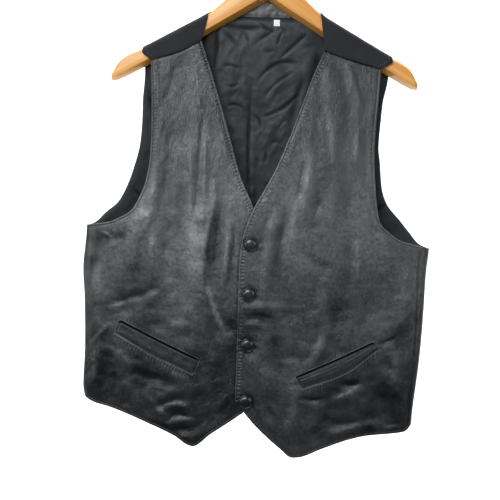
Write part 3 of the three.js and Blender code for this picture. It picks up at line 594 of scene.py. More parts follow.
def leatherMaterial(name, dark, pale, worn, rough=0.0, pocketed=False):
    material, tree, shader = newMaterial(name)
    wearAndSheen, paintedShade = attributeOf(tree, "wearAndSheen"), attributeOf(tree, "paintedShade")
    if pocketed:
        values = {key: attributeOf(tree, attribute) for key, attribute in seamInputs.items()}
        marks = addNode(tree, "ShaderNodeGroup", values, node_tree=seamMarks).outputs
        wearAndSheen = mathNode(tree, "ADD", wearAndSheen, marks["WearAndSheen"])
        paintedShade = mathNode(tree, "MAXIMUM", paintedShade, marks["Dark"])
    values = {"Vector": placeOf(tree, "Object"), "WearAndSheen": wearAndSheen, "Dark": paint(dark),
              "Pale": paint(pale), "WornAndSheen": paint(worn)}
    hide = addNode(tree, "ShaderNodeGroup", values, node_tree=hideGrain).outputs
    grain = bumpInto(tree, shader, hide["Height"], 0.75, 0.0008)
    if pocketed:
        bumpInto(tree, shader, marks["Height"], 1.0, 0.001, grain)
    roughness = mathNode(tree, "ADD", hide["Roughness"], rough)
    # The base colour goes to near black where painted shade lies on the leather
    feed(tree, shader.inputs, {
        "Base Color": mixColour(tree, paintedShade, hide["Color"], (0.0008, 0.0018, 0.0032)),
        "Roughness": combined(tree, "ADD", (roughness, 1), (paintedShade, -0.02)),
        "Specular IOR Level": 0.42,
    })
    return material


def clothMaterial(name, dark, pale, rough, sheen, shine, bump=0.25):
    material, tree, shader = newMaterial(name)
    paintedShade = attributeOf(tree, "paintedShade")
    values = {"Vector": placeOf(tree, "UV"), "WearAndSheen": attributeOf(tree, "wearAndSheen"),
              "Dark": paint(dark), "Pale": paint(pale)}
    twill = addNode(tree, "ShaderNodeGroup", values, node_tree=twillWeave).outputs
    bumpInto(tree, shader, twill["Height"], bump, 0.0002)
    # The base colour goes to near black where painted shade lies on the cloth
    feed(tree, shader.inputs, {
        "Base Color": mixColour(tree, paintedShade, twill["Color"], (0.0012, 0.0014, 0.0018)),
        "Roughness": remap(tree, paintedShade, 0.0, 1.0, rough, 0.85), "Sheen Weight": sheen,
        "Sheen Roughness": 0.4, "Specular IOR Level": shine,
    })
    return material


# The third colour of each leather is its pale tone of wear and painted sheen
leather = leatherMaterial("wornBlackLeather", (0.0043, 0.0064, 0.0086), (0.0478, 0.0488, 0.0494),
                          (0.16, 0.167, 0.165), pocketed=True)
weltLeather = leatherMaterial("weltLeather", (0.004, 0.0054, 0.0066), (0.0125, 0.0148, 0.0165),
                              (0.12, 0.125, 0.12), 0.02)
bandLeather = leatherMaterial("neckBandLeather", (0.05, 0.052, 0.05), (0.14, 0.145, 0.14),
                              (0.24, 0.24, 0.22), 0.06)
backSatin = clothMaterial("backSatin", (0.006, 0.007, 0.009), (0.011, 0.0125, 0.016), 0.62, 0.02, 0.2)
liningSatin = clothMaterial("liningSatin", (0.011, 0.014, 0.017), (0.023, 0.029, 0.033), 0.5, 0.02, 0.3)
tape = clothMaterial("labelTape", (0.66, 0.65, 0.62), (0.8, 0.79, 0.77), 0.7, 0.1, 0.3, 0.4)
print("cloth and leather finishes made")

# Fronts
frontCuts = {
    "left": {
        "neck": table(
            "x drop", (-89.8, 61.3), (-74.4, 104.3), (-58.7, 153.2), (-44.9, 198.7), (-27.4, 257.7),
            (-8.1, 300.4), (2, 330), (5, 360), (5, 460), (5, 577),
        ),
        "armhole": table(
            "x drop", (-162.3, 92.5), (-159.3, 141.9), (-157.3, 200), (-157.9, 233.4),
            (-162.4, 266.6), (-171.3, 291.7), (-182.1, 310.1), (-196.6, 319.6), (-216.1, 327.6),
            (-240.5, 331),
        ),
        "underarm": 332,
        "seam": table("x drop", (-162.3, 92.5), (-121, 79), (-89.8, 61.3)),
        "hem": table(
            "x drop", (-241, 580.4), (-227.7, 586.5), (-203.8, 592.3), (-151.1, 611.9),
            (-109.5, 630), (-93, 641), (-84, 643.4), (-60.1, 626.1), (-12.9, 592.8), (5, 577),
        ),
        "hemEnd": 580.4,
        "away": -1,
    },
    "right": {
        "neck": table(
            "x drop", (88, 71.7), (74.1, 103), (57.9, 149.5), (41.7, 195.9), (22.3, 245.7),
            (6, 277.5), (-7.1, 302.1), (-14.3, 319.8), (-22, 346.9), (-25, 375), (-25, 460),
            (-25, 577),
        ),
        "armhole": table(
            "x drop", (170.2, 95.8), (167.6, 137.1), (164.7, 174.2), (162.8, 211.2),
            (163.5, 238.8), (168.5, 293.6), (173.8, 317.2), (186, 329.6), (204.5, 341.7),
            (224.7, 346.5), (242, 350),
        ),
        "underarm": 351,
        "seam": table("x drop", (88, 71.7), (117.4, 81.4), (170.2, 95.8)),
        "hem": table(
            "x drop", (-25, 577), (-14.2, 589.9), (3.4, 610), (41.2, 643), (58.7, 655.2),
            (68.4, 654.4), (102.2, 641.1), (138.5, 627.7), (164, 621.5), (200.7, 617.9),
            (220, 615.5), (231, 606),
        ),
        "hemEnd": 606,
        "away": 1,
    },
}
frontSettings = {
    "corner": 0.5, "neckShare": 0.63, "rows": 432, "columns": 100, "lapEdge": -10, "lapReach": 21,
    "lapFade": 34, "lapLift": 2.5, "lapTop": 232, "turnedEdge": 9.0, "stitchInset": 3.4,
    "nearEdge": (0, 0.25, 0.6, 1.1, 1.8, 2.6, 3.4, 4.3, 5.6, 7.2),
    "creaseGain": (180, 160, 0.6, 1.45), "crumpleGain": (330, 160, 0.5, 1.3),
}

# The creases of the two fronts, as they show in the leather
frontCreases = {
    "left": table(
        creaseColumns,
        (-120, 74, -131, 124, -144, 178, -1.5, 7, 0.1),
        (-108, 84, -113, 130, -116, 176, -1.0, 9, 0),
        (-97, 78, -99, 124, -96, 170, 1.1, 8, 0),
        (-139, 148, -145, 184, -147, 224, 1.5, 4.5, 0.2),
        (-151, 226, -152, 292, -170, 352, 1.8, 10, -0.2),
        (-130, 190, -133, 250, -131, 306, -1.0, 11, 0),
        (-88, 146, -89, 153, -87, 161, 0.7, 3, 0),
        (-101, 200, -99, 256, -98, 322, 1.5, 7, 0.1),
        (-83, 160, -87, 226, -91, 330, -1.7, 4.5, 0.2),
        (-79, 196, -79, 246, -78, 300, 1.2, 4, 0),
        (-64, 262, -63, 288, -61, 320, 1.0, 4, 0),
        (-60, 168, -50, 215, -42, 262, 0.9, 8, 0),
        (-118, 250, -120, 310, -117, 366, 1.1, 8, 0),
        (-92, 300, -90, 350, -88, 410, 2.0, 13, 0.1),
        (-61, 284, -74, 356, -78, 424, 3.4, 12, -0.78),
        (-56, 300, -60, 362, -63, 424, -1.6, 7, 0.2),
        (-41, 318, -44, 368, -53, 432, 1.7, 3.6, 0.1),
        (-33, 326, -35, 370, -42, 430, -1.2, 4, 0),
        (-68, 414, -56, 453, -37, 492, 2.2, 3.2, -0.15),
        (-54, 436, -46, 462, -34, 480, -1.0, 5, 0),
        (-226, 342, -217, 346, -208, 354, 0.8, 2.6, 0),
        (-232, 352, -212, 352, -192, 344, -1.4, 9, 0),
        (-198, 342, -222, 382, -229, 434, 2.0, 8.5, 0.15),
        (-170, 306, -180, 352, -181, 398, 1.8, 10, 0.1),
        (-166, 340, -165, 380, -170, 420, -1.0, 7, 0),
        (-147, 330, -149, 366, -141, 420, 1.5, 5.5, 0.1),
        (-130, 330, -132, 370, -127, 410, -1.1, 6, 0),
        (-252, 447, -186, 438, -106, 398, -0.75, 6.5, 0.2),
        (-118, 404, -148, 432, -186, 470, 1.1, 8, -0.1),
        (-230, 440, -222, 458, -220, 476, -1.2, 7, 0),
        (-150, 452, -126, 446, -98, 448, -1.0, 8, 0),
        (-128, 474, -104, 470, -84, 478, 0.9, 7, 0),
        (-96, 442, -84, 462, -76, 486, 1.0, 6, 0),
        (-226, 500, -221, 487, -214, 474, 1.0, 2.1, 0),
        (-219, 496, -214, 483, -208, 471, 1.1, 2.1, 0),
        (-212, 490, -208, 478, -202, 467, 0.9, 2.0, 0),
        (-232, 506, -227, 494, -221, 482, 0.8, 2.2, 0),
        (-228, 504, -228, 536, -222, 566, 1.5, 6, 0),
        (-214, 512, -212, 548, -207, 586, -1.5, 8, 0.1),
        (-246, 556, -238, 543, -230, 530, -1.3, 2.6, 0),
        (-238, 470, -238, 520, -240, 566, 1.0, 5, 0),
        (-196, 510, -180, 528, -158, 540, 1.1, 7, 0.2),
        (-178, 534, -156, 546, -128, 548, -1.9, 9, 0),
        (-146, 584, -124, 568, -102, 564, 1.5, 6, 0.1),
        (-128, 596, -110, 586, -88, 590, 0.9, 4.5, 0.1),
        (-128, 622, -108, 608, -82, 606, 1.5, 5, -0.1),
        (-152, 574, -136, 592, -118, 604, 0.9, 5, 0),
        (-140, 592, -118, 580, -96, 578, -1.1, 4, 0),
        (-124, 608, -106, 600, -84, 604, -1.0, 3.6, 0),
        (-120, 634, -100, 622, -72, 616, -1.3, 7, 0),
        (-188, 556, -172, 570, -158, 598, 1.4, 8, 0),
        (-118, 540, -104, 546, -90, 546, 1.0, 6, 0),
        (-70, 530, -62, 566, -46, 592, 1.3, 9, 0),
        (-54, 500, -42, 534, -36, 570, -1.1, 9, 0),
    ),
    "right": table(
        creaseColumns,
        (117, 83, 131, 118, 145, 158, 1.8, 6, -0.2),
        (104, 88, 119, 124, 126, 166, -1.2, 8, 0),
        (93, 92, 94, 122, 96, 158, 1.1, 7, 0),
        (98, 150, 103, 190, 108, 244, 1.5, 7, 0.2),
        (80, 110, 82, 165, 78, 214, -0.9, 8, 0),
        (140, 176, 139, 208, 138, 246, 1.1, 6, 0),
        (153, 180, 152, 230, 152, 290, -0.9, 7, 0),
        (72, 206, 69, 264, 54, 326, 2.0, 7.5, -0.25),
        (62, 232, 60, 256, 55, 286, -1.3, 4, 0),
        (50, 164, 46, 200, 36, 240, 0.9, 7, 0),
        (84, 240, 84, 292, 72, 340, -1.2, 9, 0),
        (108, 262, 108, 290, 104, 326, 1.0, 7, 0),
        (126, 232, 128, 280, 136, 330, -0.9, 10, 0),
        (143, 257, 156, 292, 172, 326, 1.4, 9, 0),
        (12, 289, 6, 292, 0, 294, 0.8, 2.4, 0),
        (22, 276, 14, 279, 6, 284, 0.6, 2.2, 0),
        (27, 300, 17, 348, 4, 448, 2.3, 7, 0.15),
        (52, 290, 50, 330, 44, 388, 1.3, 5, 0),
        (38, 306, 32, 350, 26, 410, -1.4, 6, 0),
        (30, 366, 29, 382, 27, 398, 0.9, 3.5, 0),
        (26, 434, 29, 448, 27, 464, 1.1, 4, 0),
        (141, 342, 143, 370, 141, 404, 1.3, 3.8, 0),
        (128, 330, 128, 372, 124, 424, -1.0, 8, 0),
        (172, 330, 178, 356, 178, 398, 1.3, 6, 0),
        (190, 366, 193, 410, 190, 462, -1.0, 9, 0),
        (208, 372, 212, 420, 206, 476, 1.3, 9, 0),
        (96, 396, 98, 420, 96, 452, 1.1, 6, 0),
        (99, 450, 94, 496, 58, 540, 2.0, 7.5, 0.2),
        (112, 440, 108, 482, 92, 512, -1.2, 7, 0),
        (-20, 446, 10, 443, 46, 440, 1.3, 6, 0),
        (-14, 457, 8, 455, 30, 459, -1.9, 4, -0.2),
        (-18, 470, 2, 468, 20, 474, 1.0, 5, 0),
        (16, 470, 30, 490, 34, 530, -1.1, 10, 0),
        (-12, 512, 10, 524, 16, 556, 1.0, 7, 0),
        (56, 360, 80, 374, 106, 388, -1.1, 9, 0),
        (176, 493, 187, 486, 200, 478, -1.5, 3, 0),
        (182, 512, 194, 520, 198, 536, -1.1, 6, 0),
        (126, 545, 140, 550, 154, 544, -1.8, 4.5, 0),
        (64, 566, 82, 572, 102, 568, -1.7, 4.5, 0),
        (104, 576, 128, 568, 156, 552, 1.5, 7, -0.1),
        (60, 552, 59, 586, 44, 626, 1.7, 7, 0),
        (170, 556, 196, 548, 222, 552, 1.2, 8, 0),
        (92, 600, 124, 606, 160, 598, -1.3, 7, 0),
        (112, 622, 150, 610, 190, 604, 1.3, 7, 0),
        (2, 552, 12, 590, 32, 616, 1.1, 8, 0),
        (196, 500, 203, 530, 200, 566, 1.1, 8, 0),
        (186, 611, 200, 609, 216, 610, 0.7, 2.4, 0),
        (70, 520, 62, 528, 50, 538, 0.8, 2.6, 0),
    ),
}

welts = {
    "left": {
        "upper": table("x drop", (-192, 470.5), (-136, 496.5), (-81, 521)),
        "lower": table("x drop", (-197.5, 485), (-143, 514), (-87.5, 538)),
    },
    "right": {
        "upper": table("x drop", (62.5, 541), (117, 516), (168.5, 490)),
        "lower": table("x drop", (70, 554), (129.5, 530.5), (175, 496)),
    },
}
snapDrops = (353.8, 424.5, 496.5, 577)


def frontPattern(side):
    cut, corner, share = frontCuts[side], frontSettings["corner"], frontSettings["neckShare"]
    seamTurn = cut["away"] * seam["sideTurn"]
    armhole = cut["armhole"]
    turns = np.append(turnAt(armhole["x"], armhole["drop"], False), seamTurn)
    upper = pathThrough(turns, np.append(armhole["drop"], cut["underarm"]))
    lower = pathThrough(np.full(2, seamTurn), np.array([cut["underarm"], cut["hemEnd"]], float))
    neck = pathThrough(turnAt(cut["neck"]["x"], cut["neck"]["drop"], False), cut["neck"]["drop"])

    def neckAt(t):
        late = lerp(share, 1, (t - corner) / (1 - corner))
        return neck(np.where(t < corner, t / corner * share, late))

    return {"neck": neckAt, "outer": joined(upper, lower, corner),
            "seamDrop": smooth(cut["seam"], "x", "drop"), "hemDrop": smooth(cut["hem"], "x", "drop")}


# The place on a front at u from the neck edge to the side and v from the seam to the hem
def frontPlace(pattern, u, v):
    bend = u**1.8
    (turn0, drop0), (turn1, drop1) = pattern["neck"](v), pattern["outer"](v)
    turn, drop = lerp(turn0, turn1, u), lerp(drop0, drop1, bend)
    ends = ((0.0, 80, "seamDrop", np.maximum(1 - v / 0.3, 0) ** 2),
            (1.0, 600, "hemDrop", np.maximum((v - 0.5) / 0.5, 0) ** 2))
    for end, level, key, share in ends:
        (turnA, dropA), (turnB, dropB) = pattern["neck"](end), pattern["outer"](end)
        x = ringPoint(lerp(turnA, turnB, u), np.full(u.shape, float(level)))[0]
        drop = drop + share * (pattern[key](x) - lerp(dropA, dropB, bend))
    return turn, drop


def lapLift(side, x, drop):
    if side == "left":
        return np.zeros_like(x)
    settings = frontSettings
    overlap = 1 - ease((x - settings["lapEdge"] - settings["lapReach"]) / settings["lapFade"])
    return settings["lapLift"] * overlap * ease((drop - settings["lapTop"]) / 50)


def frontBase(side, pattern, u, v):
    turn, drop = frontPlace(pattern, u, v)
    x, y, depth = ringPoint(turn, drop)
    return np.stack([x, y - lapLift(side, x, drop), -drop], -1), depth * (np.abs(turn) <= 1)


# Across and along a pocket welt: how far below its upper edge, above its lower edge, and
# inside its ends a spot lies, all in millimetres
def weltFrame(side, x, drop):
    upper, lower = welts[side]["upper"], welts[side]["lower"]
    top, bottom = smooth(upper, "x", "drop"), smooth(lower, "x", "drop")
    tilt = (upper["drop"][-1] - upper["drop"][0]) / (upper["x"][-1] - upper["x"][0])
    level = math.cos(math.atan(tilt))
    below, above = (drop - top(x)) * level, (bottom(x) - drop) * level
    share = np.clip(below / np.maximum(below + above, 1), 0, 1)
    first = lerp(upper["x"][0], lower["x"][0], share)
    last = lerp(upper["x"][-1], lower["x"][-1], share)
    return below, above, (x - first) / level, (last - x) / level


def outsideOf(parts):
    below, above, fromStart, fromEnd = parts
    overX = np.maximum(np.maximum(-fromStart, -fromEnd), 0)
    overDrop = np.maximum(np.maximum(-below, -above), 0)
    deepest = np.minimum(np.minimum(below, above), np.minimum(fromStart, fromEnd))
    return np.where(deepest > 0, -deepest, np.hypot(overX, overDrop))


pocketSettings = {
    "stitchInset": 3.6, "frameInset": 3.4, "frameRise": 0.5, "frameWidth": 1.8, "slitDepth": 1.2,
    "slitWidth": 2.4, "puckerStart": 4.2, "puckerReach": 5.0, "upperPuckers": 0.4, "upperAt": 6.5,
}


# A pocket's relief, how far a spot lies under its welt, the distances outside and below it
# that the shader uses, and how puckered the leather is, with the way along the puckers
def pocketRelief(side, x, drop):
    settings, parts = pocketSettings, weltFrame(side, x, drop)
    below, above, fromStart, fromEnd = parts
    outside = outsideOf(parts)
    lengthwise = ease((fromStart + 1) / 3) * ease((fromEnd + 1) / 3)
    slit = settings["slitDepth"] * bell(below + 0.2, settings["slitWidth"]) * lengthwise
    frame = settings["frameRise"] * bell(outside - settings["frameInset"], settings["frameWidth"])
    along = fromStart + 2.2 * softNoise(x, drop, 19, 5)
    uneven = np.clip(0.65 + 0.6 * softNoise(x, drop, 21, 9), 0.1, 1.3)
    window = ease((-above - settings["puckerStart"]) / 1.6)
    window = window * bell(np.maximum(-above - 5, 0), settings["puckerReach"])
    window = window + settings["upperPuckers"] * bell(below + settings["upperAt"], 2.2)
    under = 1 - ease((outside + 0.5) / 3)
    return frame - slit, under, outside, below, window * lengthwise * uneven, along


# Lines where the leather is paler, partly from wear and partly as painted highlight along folds that catch
# the light; their rise is the share of the paler tone.
wornLines = {
    "left": table(
        creaseColumns,
        (-69, 412, -56, 452, -38, 490, 0.6, 2.6, 0),
        (-62, 284, -75, 356, -79, 424, 0.4, 3.4, 0),
        (-41, 318, -44, 368, -53, 432, 0.4, 2.8, 0),
        (-30, 336, -31, 370, -33, 410, 0.2, 2.5, 0),
        (-79, 196, -79, 246, -78, 300, 0.14, 3, 0),
        (-98, 210, -97, 256, -98, 322, 0.12, 5, 0),
        (-94, 306, -91, 360, -90, 424, 0.3, 9, 0),
        (-164, 286, -172, 320, -184, 356, 0.2, 6, 0),
        (-151, 236, -153, 292, -172, 352, 0.16, 6, 0),
        (-198, 342, -222, 382, -229, 434, 0.34, 6, 0),
        (-118, 404, -148, 432, -186, 470, 0.14, 6, 0),
        (-229, 504, -229, 536, -223, 566, 0.16, 3, 0),
        (-124, 566, -112, 562, -98, 564, 0.16, 4, 0),
        (-140, 300, -146, 340, -146, 380, 0.1, 6, 0),
        (-214, 500, -188, 520, -158, 534, 0.24, 9, 0),
        (-225, 498, -220, 486, -213, 473, 0.35, 1.9, 0),
        (-218, 493, -212, 481, -206, 470, 0.4, 1.9, 0),
        (-211, 488, -206, 477, -199, 466, 0.35, 1.9, 0),
        (-146, 580, -133, 571, -118, 566, 0.3, 4, 0),
        (-114, 584, -100, 579, -86, 582, 0.24, 4, 0),
    ),
    "right": table(
        creaseColumns,
        (27, 300, 17, 348, 4, 448, 0.2, 5, 0),
        (72, 206, 69, 264, 54, 326, 0.16, 4, 0),
        (52, 290, 50, 330, 44, 388, 0.12, 4, 0),
        (141, 342, 143, 370, 141, 404, 0.2, 2.4, 0),
        (99, 450, 94, 496, 58, 540, 0.14, 6, 0),
        (12, 289, 6, 292, 0, 294, 0.3, 2, 0),
        (117, 83, 131, 118, 145, 158, 0.12, 4, 0),
        (86, 520, 68, 529, 52, 540, 0.4, 2.4, 0),
        (46, 550, 54, 545, 63, 540, 0.6, 1.9, 0),
        (48, 558, 56, 554, 65, 551, 0.5, 1.9, 0),
        (60, 552, 59, 586, 46, 616, 0.14, 5, 0),
        (190, 611, 202, 609, 216, 610, 0.25, 2, 0),
    ),
}

# Lines of painted shade, beside folds and low on the fronts
paintedShadeLines = {
    "left": table(
        creaseColumns.replace("rise", "dark"),
        (-268, 340, -226, 352, -176, 338, 0.95, 15, 0),
        (-268, 372, -238, 384, -212, 368, 0.7, 13, 0),
        (-241, 390, -240, 430, -238, 480, 0.5, 8, 0),
        (-57, 290, -58, 344, -66, 434, 0.5, 11, 0),
        (-58, 286, -70, 356, -74, 424, 0.6, 4, 0.3),
        (-70, 430, -66, 462, -54, 506, 0.5, 7, 0),
        (-250, 450, -186, 440, -112, 402, 0.22, 5, 0),
        (-221, 495, -216, 484, -209, 472, 0.5, 1.9, 0),
        (-214, 490, -209, 479, -203, 468, 0.5, 1.9, 0),
        (-234, 556, -220, 566, -202, 576, 0.8, 13, 0),
        (-92, 500, -84, 520, -78, 548, 0.4, 10, 0),
        (-150, 608, -112, 624, -76, 634, 0.8, 12, 0),
        (-176, 538, -148, 550, -108, 554, 0.6, 10, 0),
        (-35, 322, -38, 368, -44, 424, 0.4, 3, 0),
    ),
    "right": table(
        creaseColumns.replace("rise", "dark"),
        (-16, 458, 8, 456, 34, 462, 0.8, 5, 0),
        (34, 320, 30, 356, 26, 412, 0.45, 5, 0),
        (62, 226, 60, 260, 54, 292, 0.3, 4, 0),
        (84, 250, 84, 300, 74, 350, 0.25, 9, 0),
        (128, 340, 128, 376, 124, 430, 0.2, 8, 0),
        (124, 541, 138, 545, 154, 539, 0.7, 5, 0),
        (102, 552, 112, 556, 126, 552, 0.55, 4, 0),
        (158, 517, 170, 520, 182, 513, 0.55, 4, 0),
        (172, 498, 188, 487, 204, 475, 0.7, 2, 0),
        (60, 568, 82, 574, 106, 568, 0.5, 6, 0),
        (20, 480, 30, 500, 36, 540, 0.35, 10, 0),
        (100, 640, 150, 622, 196, 612, 0.4, 8, 0),
    ),
}

# How much painted shade darkens the fronts high up and low down, how dark their random patches low down
# are, and how much painted light makes their middle band paler
frontPaintedLight = {
    "left": {"upper": 0.8, "upperEnd": 120, "lower": 0.5, "patches": 0.85, "paintedLitMiddle": 0.32},
    "right": {"upper": 0.44, "upperEnd": 76, "lower": 0.28, "patches": 0.6, "paintedLitMiddle": 0.28},
}

# Short gathers that fan out from a pocket's end
gatherSettings = {"rays": 2.1, "wander": 1.6, "wanderSize": 24, "fade": 0.62, "fan": 1.1}
gathers = {
    "left": {"x": -200, "drop": 480, "inner": 4, "reach": 24, "count": 8, "rise": 0.3, "facing": 2.75},
    "right": {"x": 60, "drop": 551, "inner": 3, "reach": 22, "count": 9, "rise": 0.7, "facing": 2.6},
}


def gatherRelief(side, x, drop):
    settings, spot = gatherSettings, gathers[side]
    dx, dy = x - spot["x"], drop - spot["drop"]
    away = np.hypot(dx, dy)
    angle = np.arctan2(dy, dx)
    turned = np.abs((angle - spot["facing"] + math.pi) % (2 * math.pi) - math.pi)
    wander = settings["wander"] * softNoise(x, drop, settings["wanderSize"], 12)
    rays = np.sin(angle * spot["count"] * settings["rays"] + wander)
    window = ease((away - spot["inner"]) / 4) * bell(away, spot["reach"] * settings["fade"])
    return spot["rise"] * rays * window * bell(turned, settings["fan"])


# Around each snap: a dimple with short rays, a calm place and a ring of shade
dimpleSettings = {
    "depth": 0.9, "reach": 11.5, "rays": 0.35, "raysAt": 15, "raysReach": 4.5, "calmReach": 13,
    "shadeAt": 10.8, "shadeReach": 2.2,
}


def snapDimples(x, drop):
    settings = dimpleSettings
    total, calm, shade = np.zeros_like(x), np.ones_like(x), np.zeros_like(x)
    for k, at in enumerate(snapDrops):
        dx, dy = x - frontSettings["lapEdge"], drop - at
        away = np.hypot(dx, dy)
        rays = np.sin(np.arctan2(dy, dx) * (7 + k) + k)
        total -= settings["depth"] * bell(away, settings["reach"])
        total += settings["rays"] * rays * bell(away - settings["raysAt"], settings["raysReach"])
        calm *= 1 - bell(away, settings["calmReach"])
        shade = np.maximum(shade, bell(away - settings["shadeAt"], settings["shadeReach"]))
    return total, calm, shade


# Random crumples as rises and sizes, drawn out upright above and rounder low down
crumpleSettings = {
    "sway": (9, 60), "broad": (1.6, 36), "middle": (0.75, 16), "folded": (0.6, 24),
    "small": (0.27, 7), "fall": 0.42, "lowFall": 0.4, "lowStart": 440,
}


def crumple(x, drop, seed):
    settings = crumpleSettings

    def wave(key, across, down, seedStep):
        rise, size = settings[key]
        noise = softNoise(across, down, size, seed + seedStep)
        return rise * (0.5 - np.abs(noise) if key == "folded" else noise)

    flow = x + wave("sway", x, drop * 0.5, 1)
    fall = settings["fall"] * drop + settings["lowFall"] * np.maximum(drop - settings["lowStart"], 0)
    broad, middle = wave("broad", flow, fall, 2), wave("middle", flow, fall + 0.1 * drop, 3)
    return broad + middle + wave("folded", flow, fall, 4) + wave("small", flow, drop * 0.9, 5)


# How much each cause makes the leather paler, as wear and painted sheen, and how much painted shade each
# lays on it
frontWearAndSheen = {"edge": 0.45, "ridge": 0.24, "gathers": 0.55, "lines": 1.2, "pocket": 0.1}
frontShade = {
    "rings": 0.6, "sideLine": 0.6, "lap": 0.75, "stitches": 0.55, "seams": 0.8, "troughs": 0.4,
    "most": 0.96,
}
# Puckers along the edges: the edge, the seed of its waves and their strength
edgePuckers = (("neck", 3, 0.6), ("armhole", 4, 0.3), ("hem", 6, 0.25))


# A front's plain form: its grid of points, how far round it faces, and the distances from
# each of its edges
def frontSurface(side):
    settings, pattern = frontSettings, frontPattern(side)
    coarseU, coarseV = np.meshgrid(np.linspace(0, 1, 33), np.linspace(0, 1, 65))
    coarse, _ = frontBase(side, pattern, coarseU, coarseV)
    widths = np.linalg.norm(np.diff(coarse, axis=1), axis=-1).sum(1)
    lengths = np.linalg.norm(np.diff(coarse, axis=0), axis=-1).sum(0)
    longest = np.interp(np.linspace(0, 1, settings["columns"]), coarseU[0], lengths)
    v = spread(longest[:, None], settings["rows"], settings["nearEdge"]).T
    u = spread(np.interp(v, coarseV[:, 0], widths), settings["columns"], settings["nearEdge"])
    base, depth = frontBase(side, pattern, u, v)
    corner = int(np.abs(v[:, -1] - settings["corner"]).argmin())
    lines = {"neck": base[:, 0], "armhole": base[:corner + 1, -1], "side": base[corner:, -1],
             "top": base[0], "hem": base[-1]}
    return base, depth, {key: distanceFrom(base, line) for key, line in lines.items()}


def ramp(drop, start, span, low, high):
    return lerp(low, high, ease((drop - start) / span))


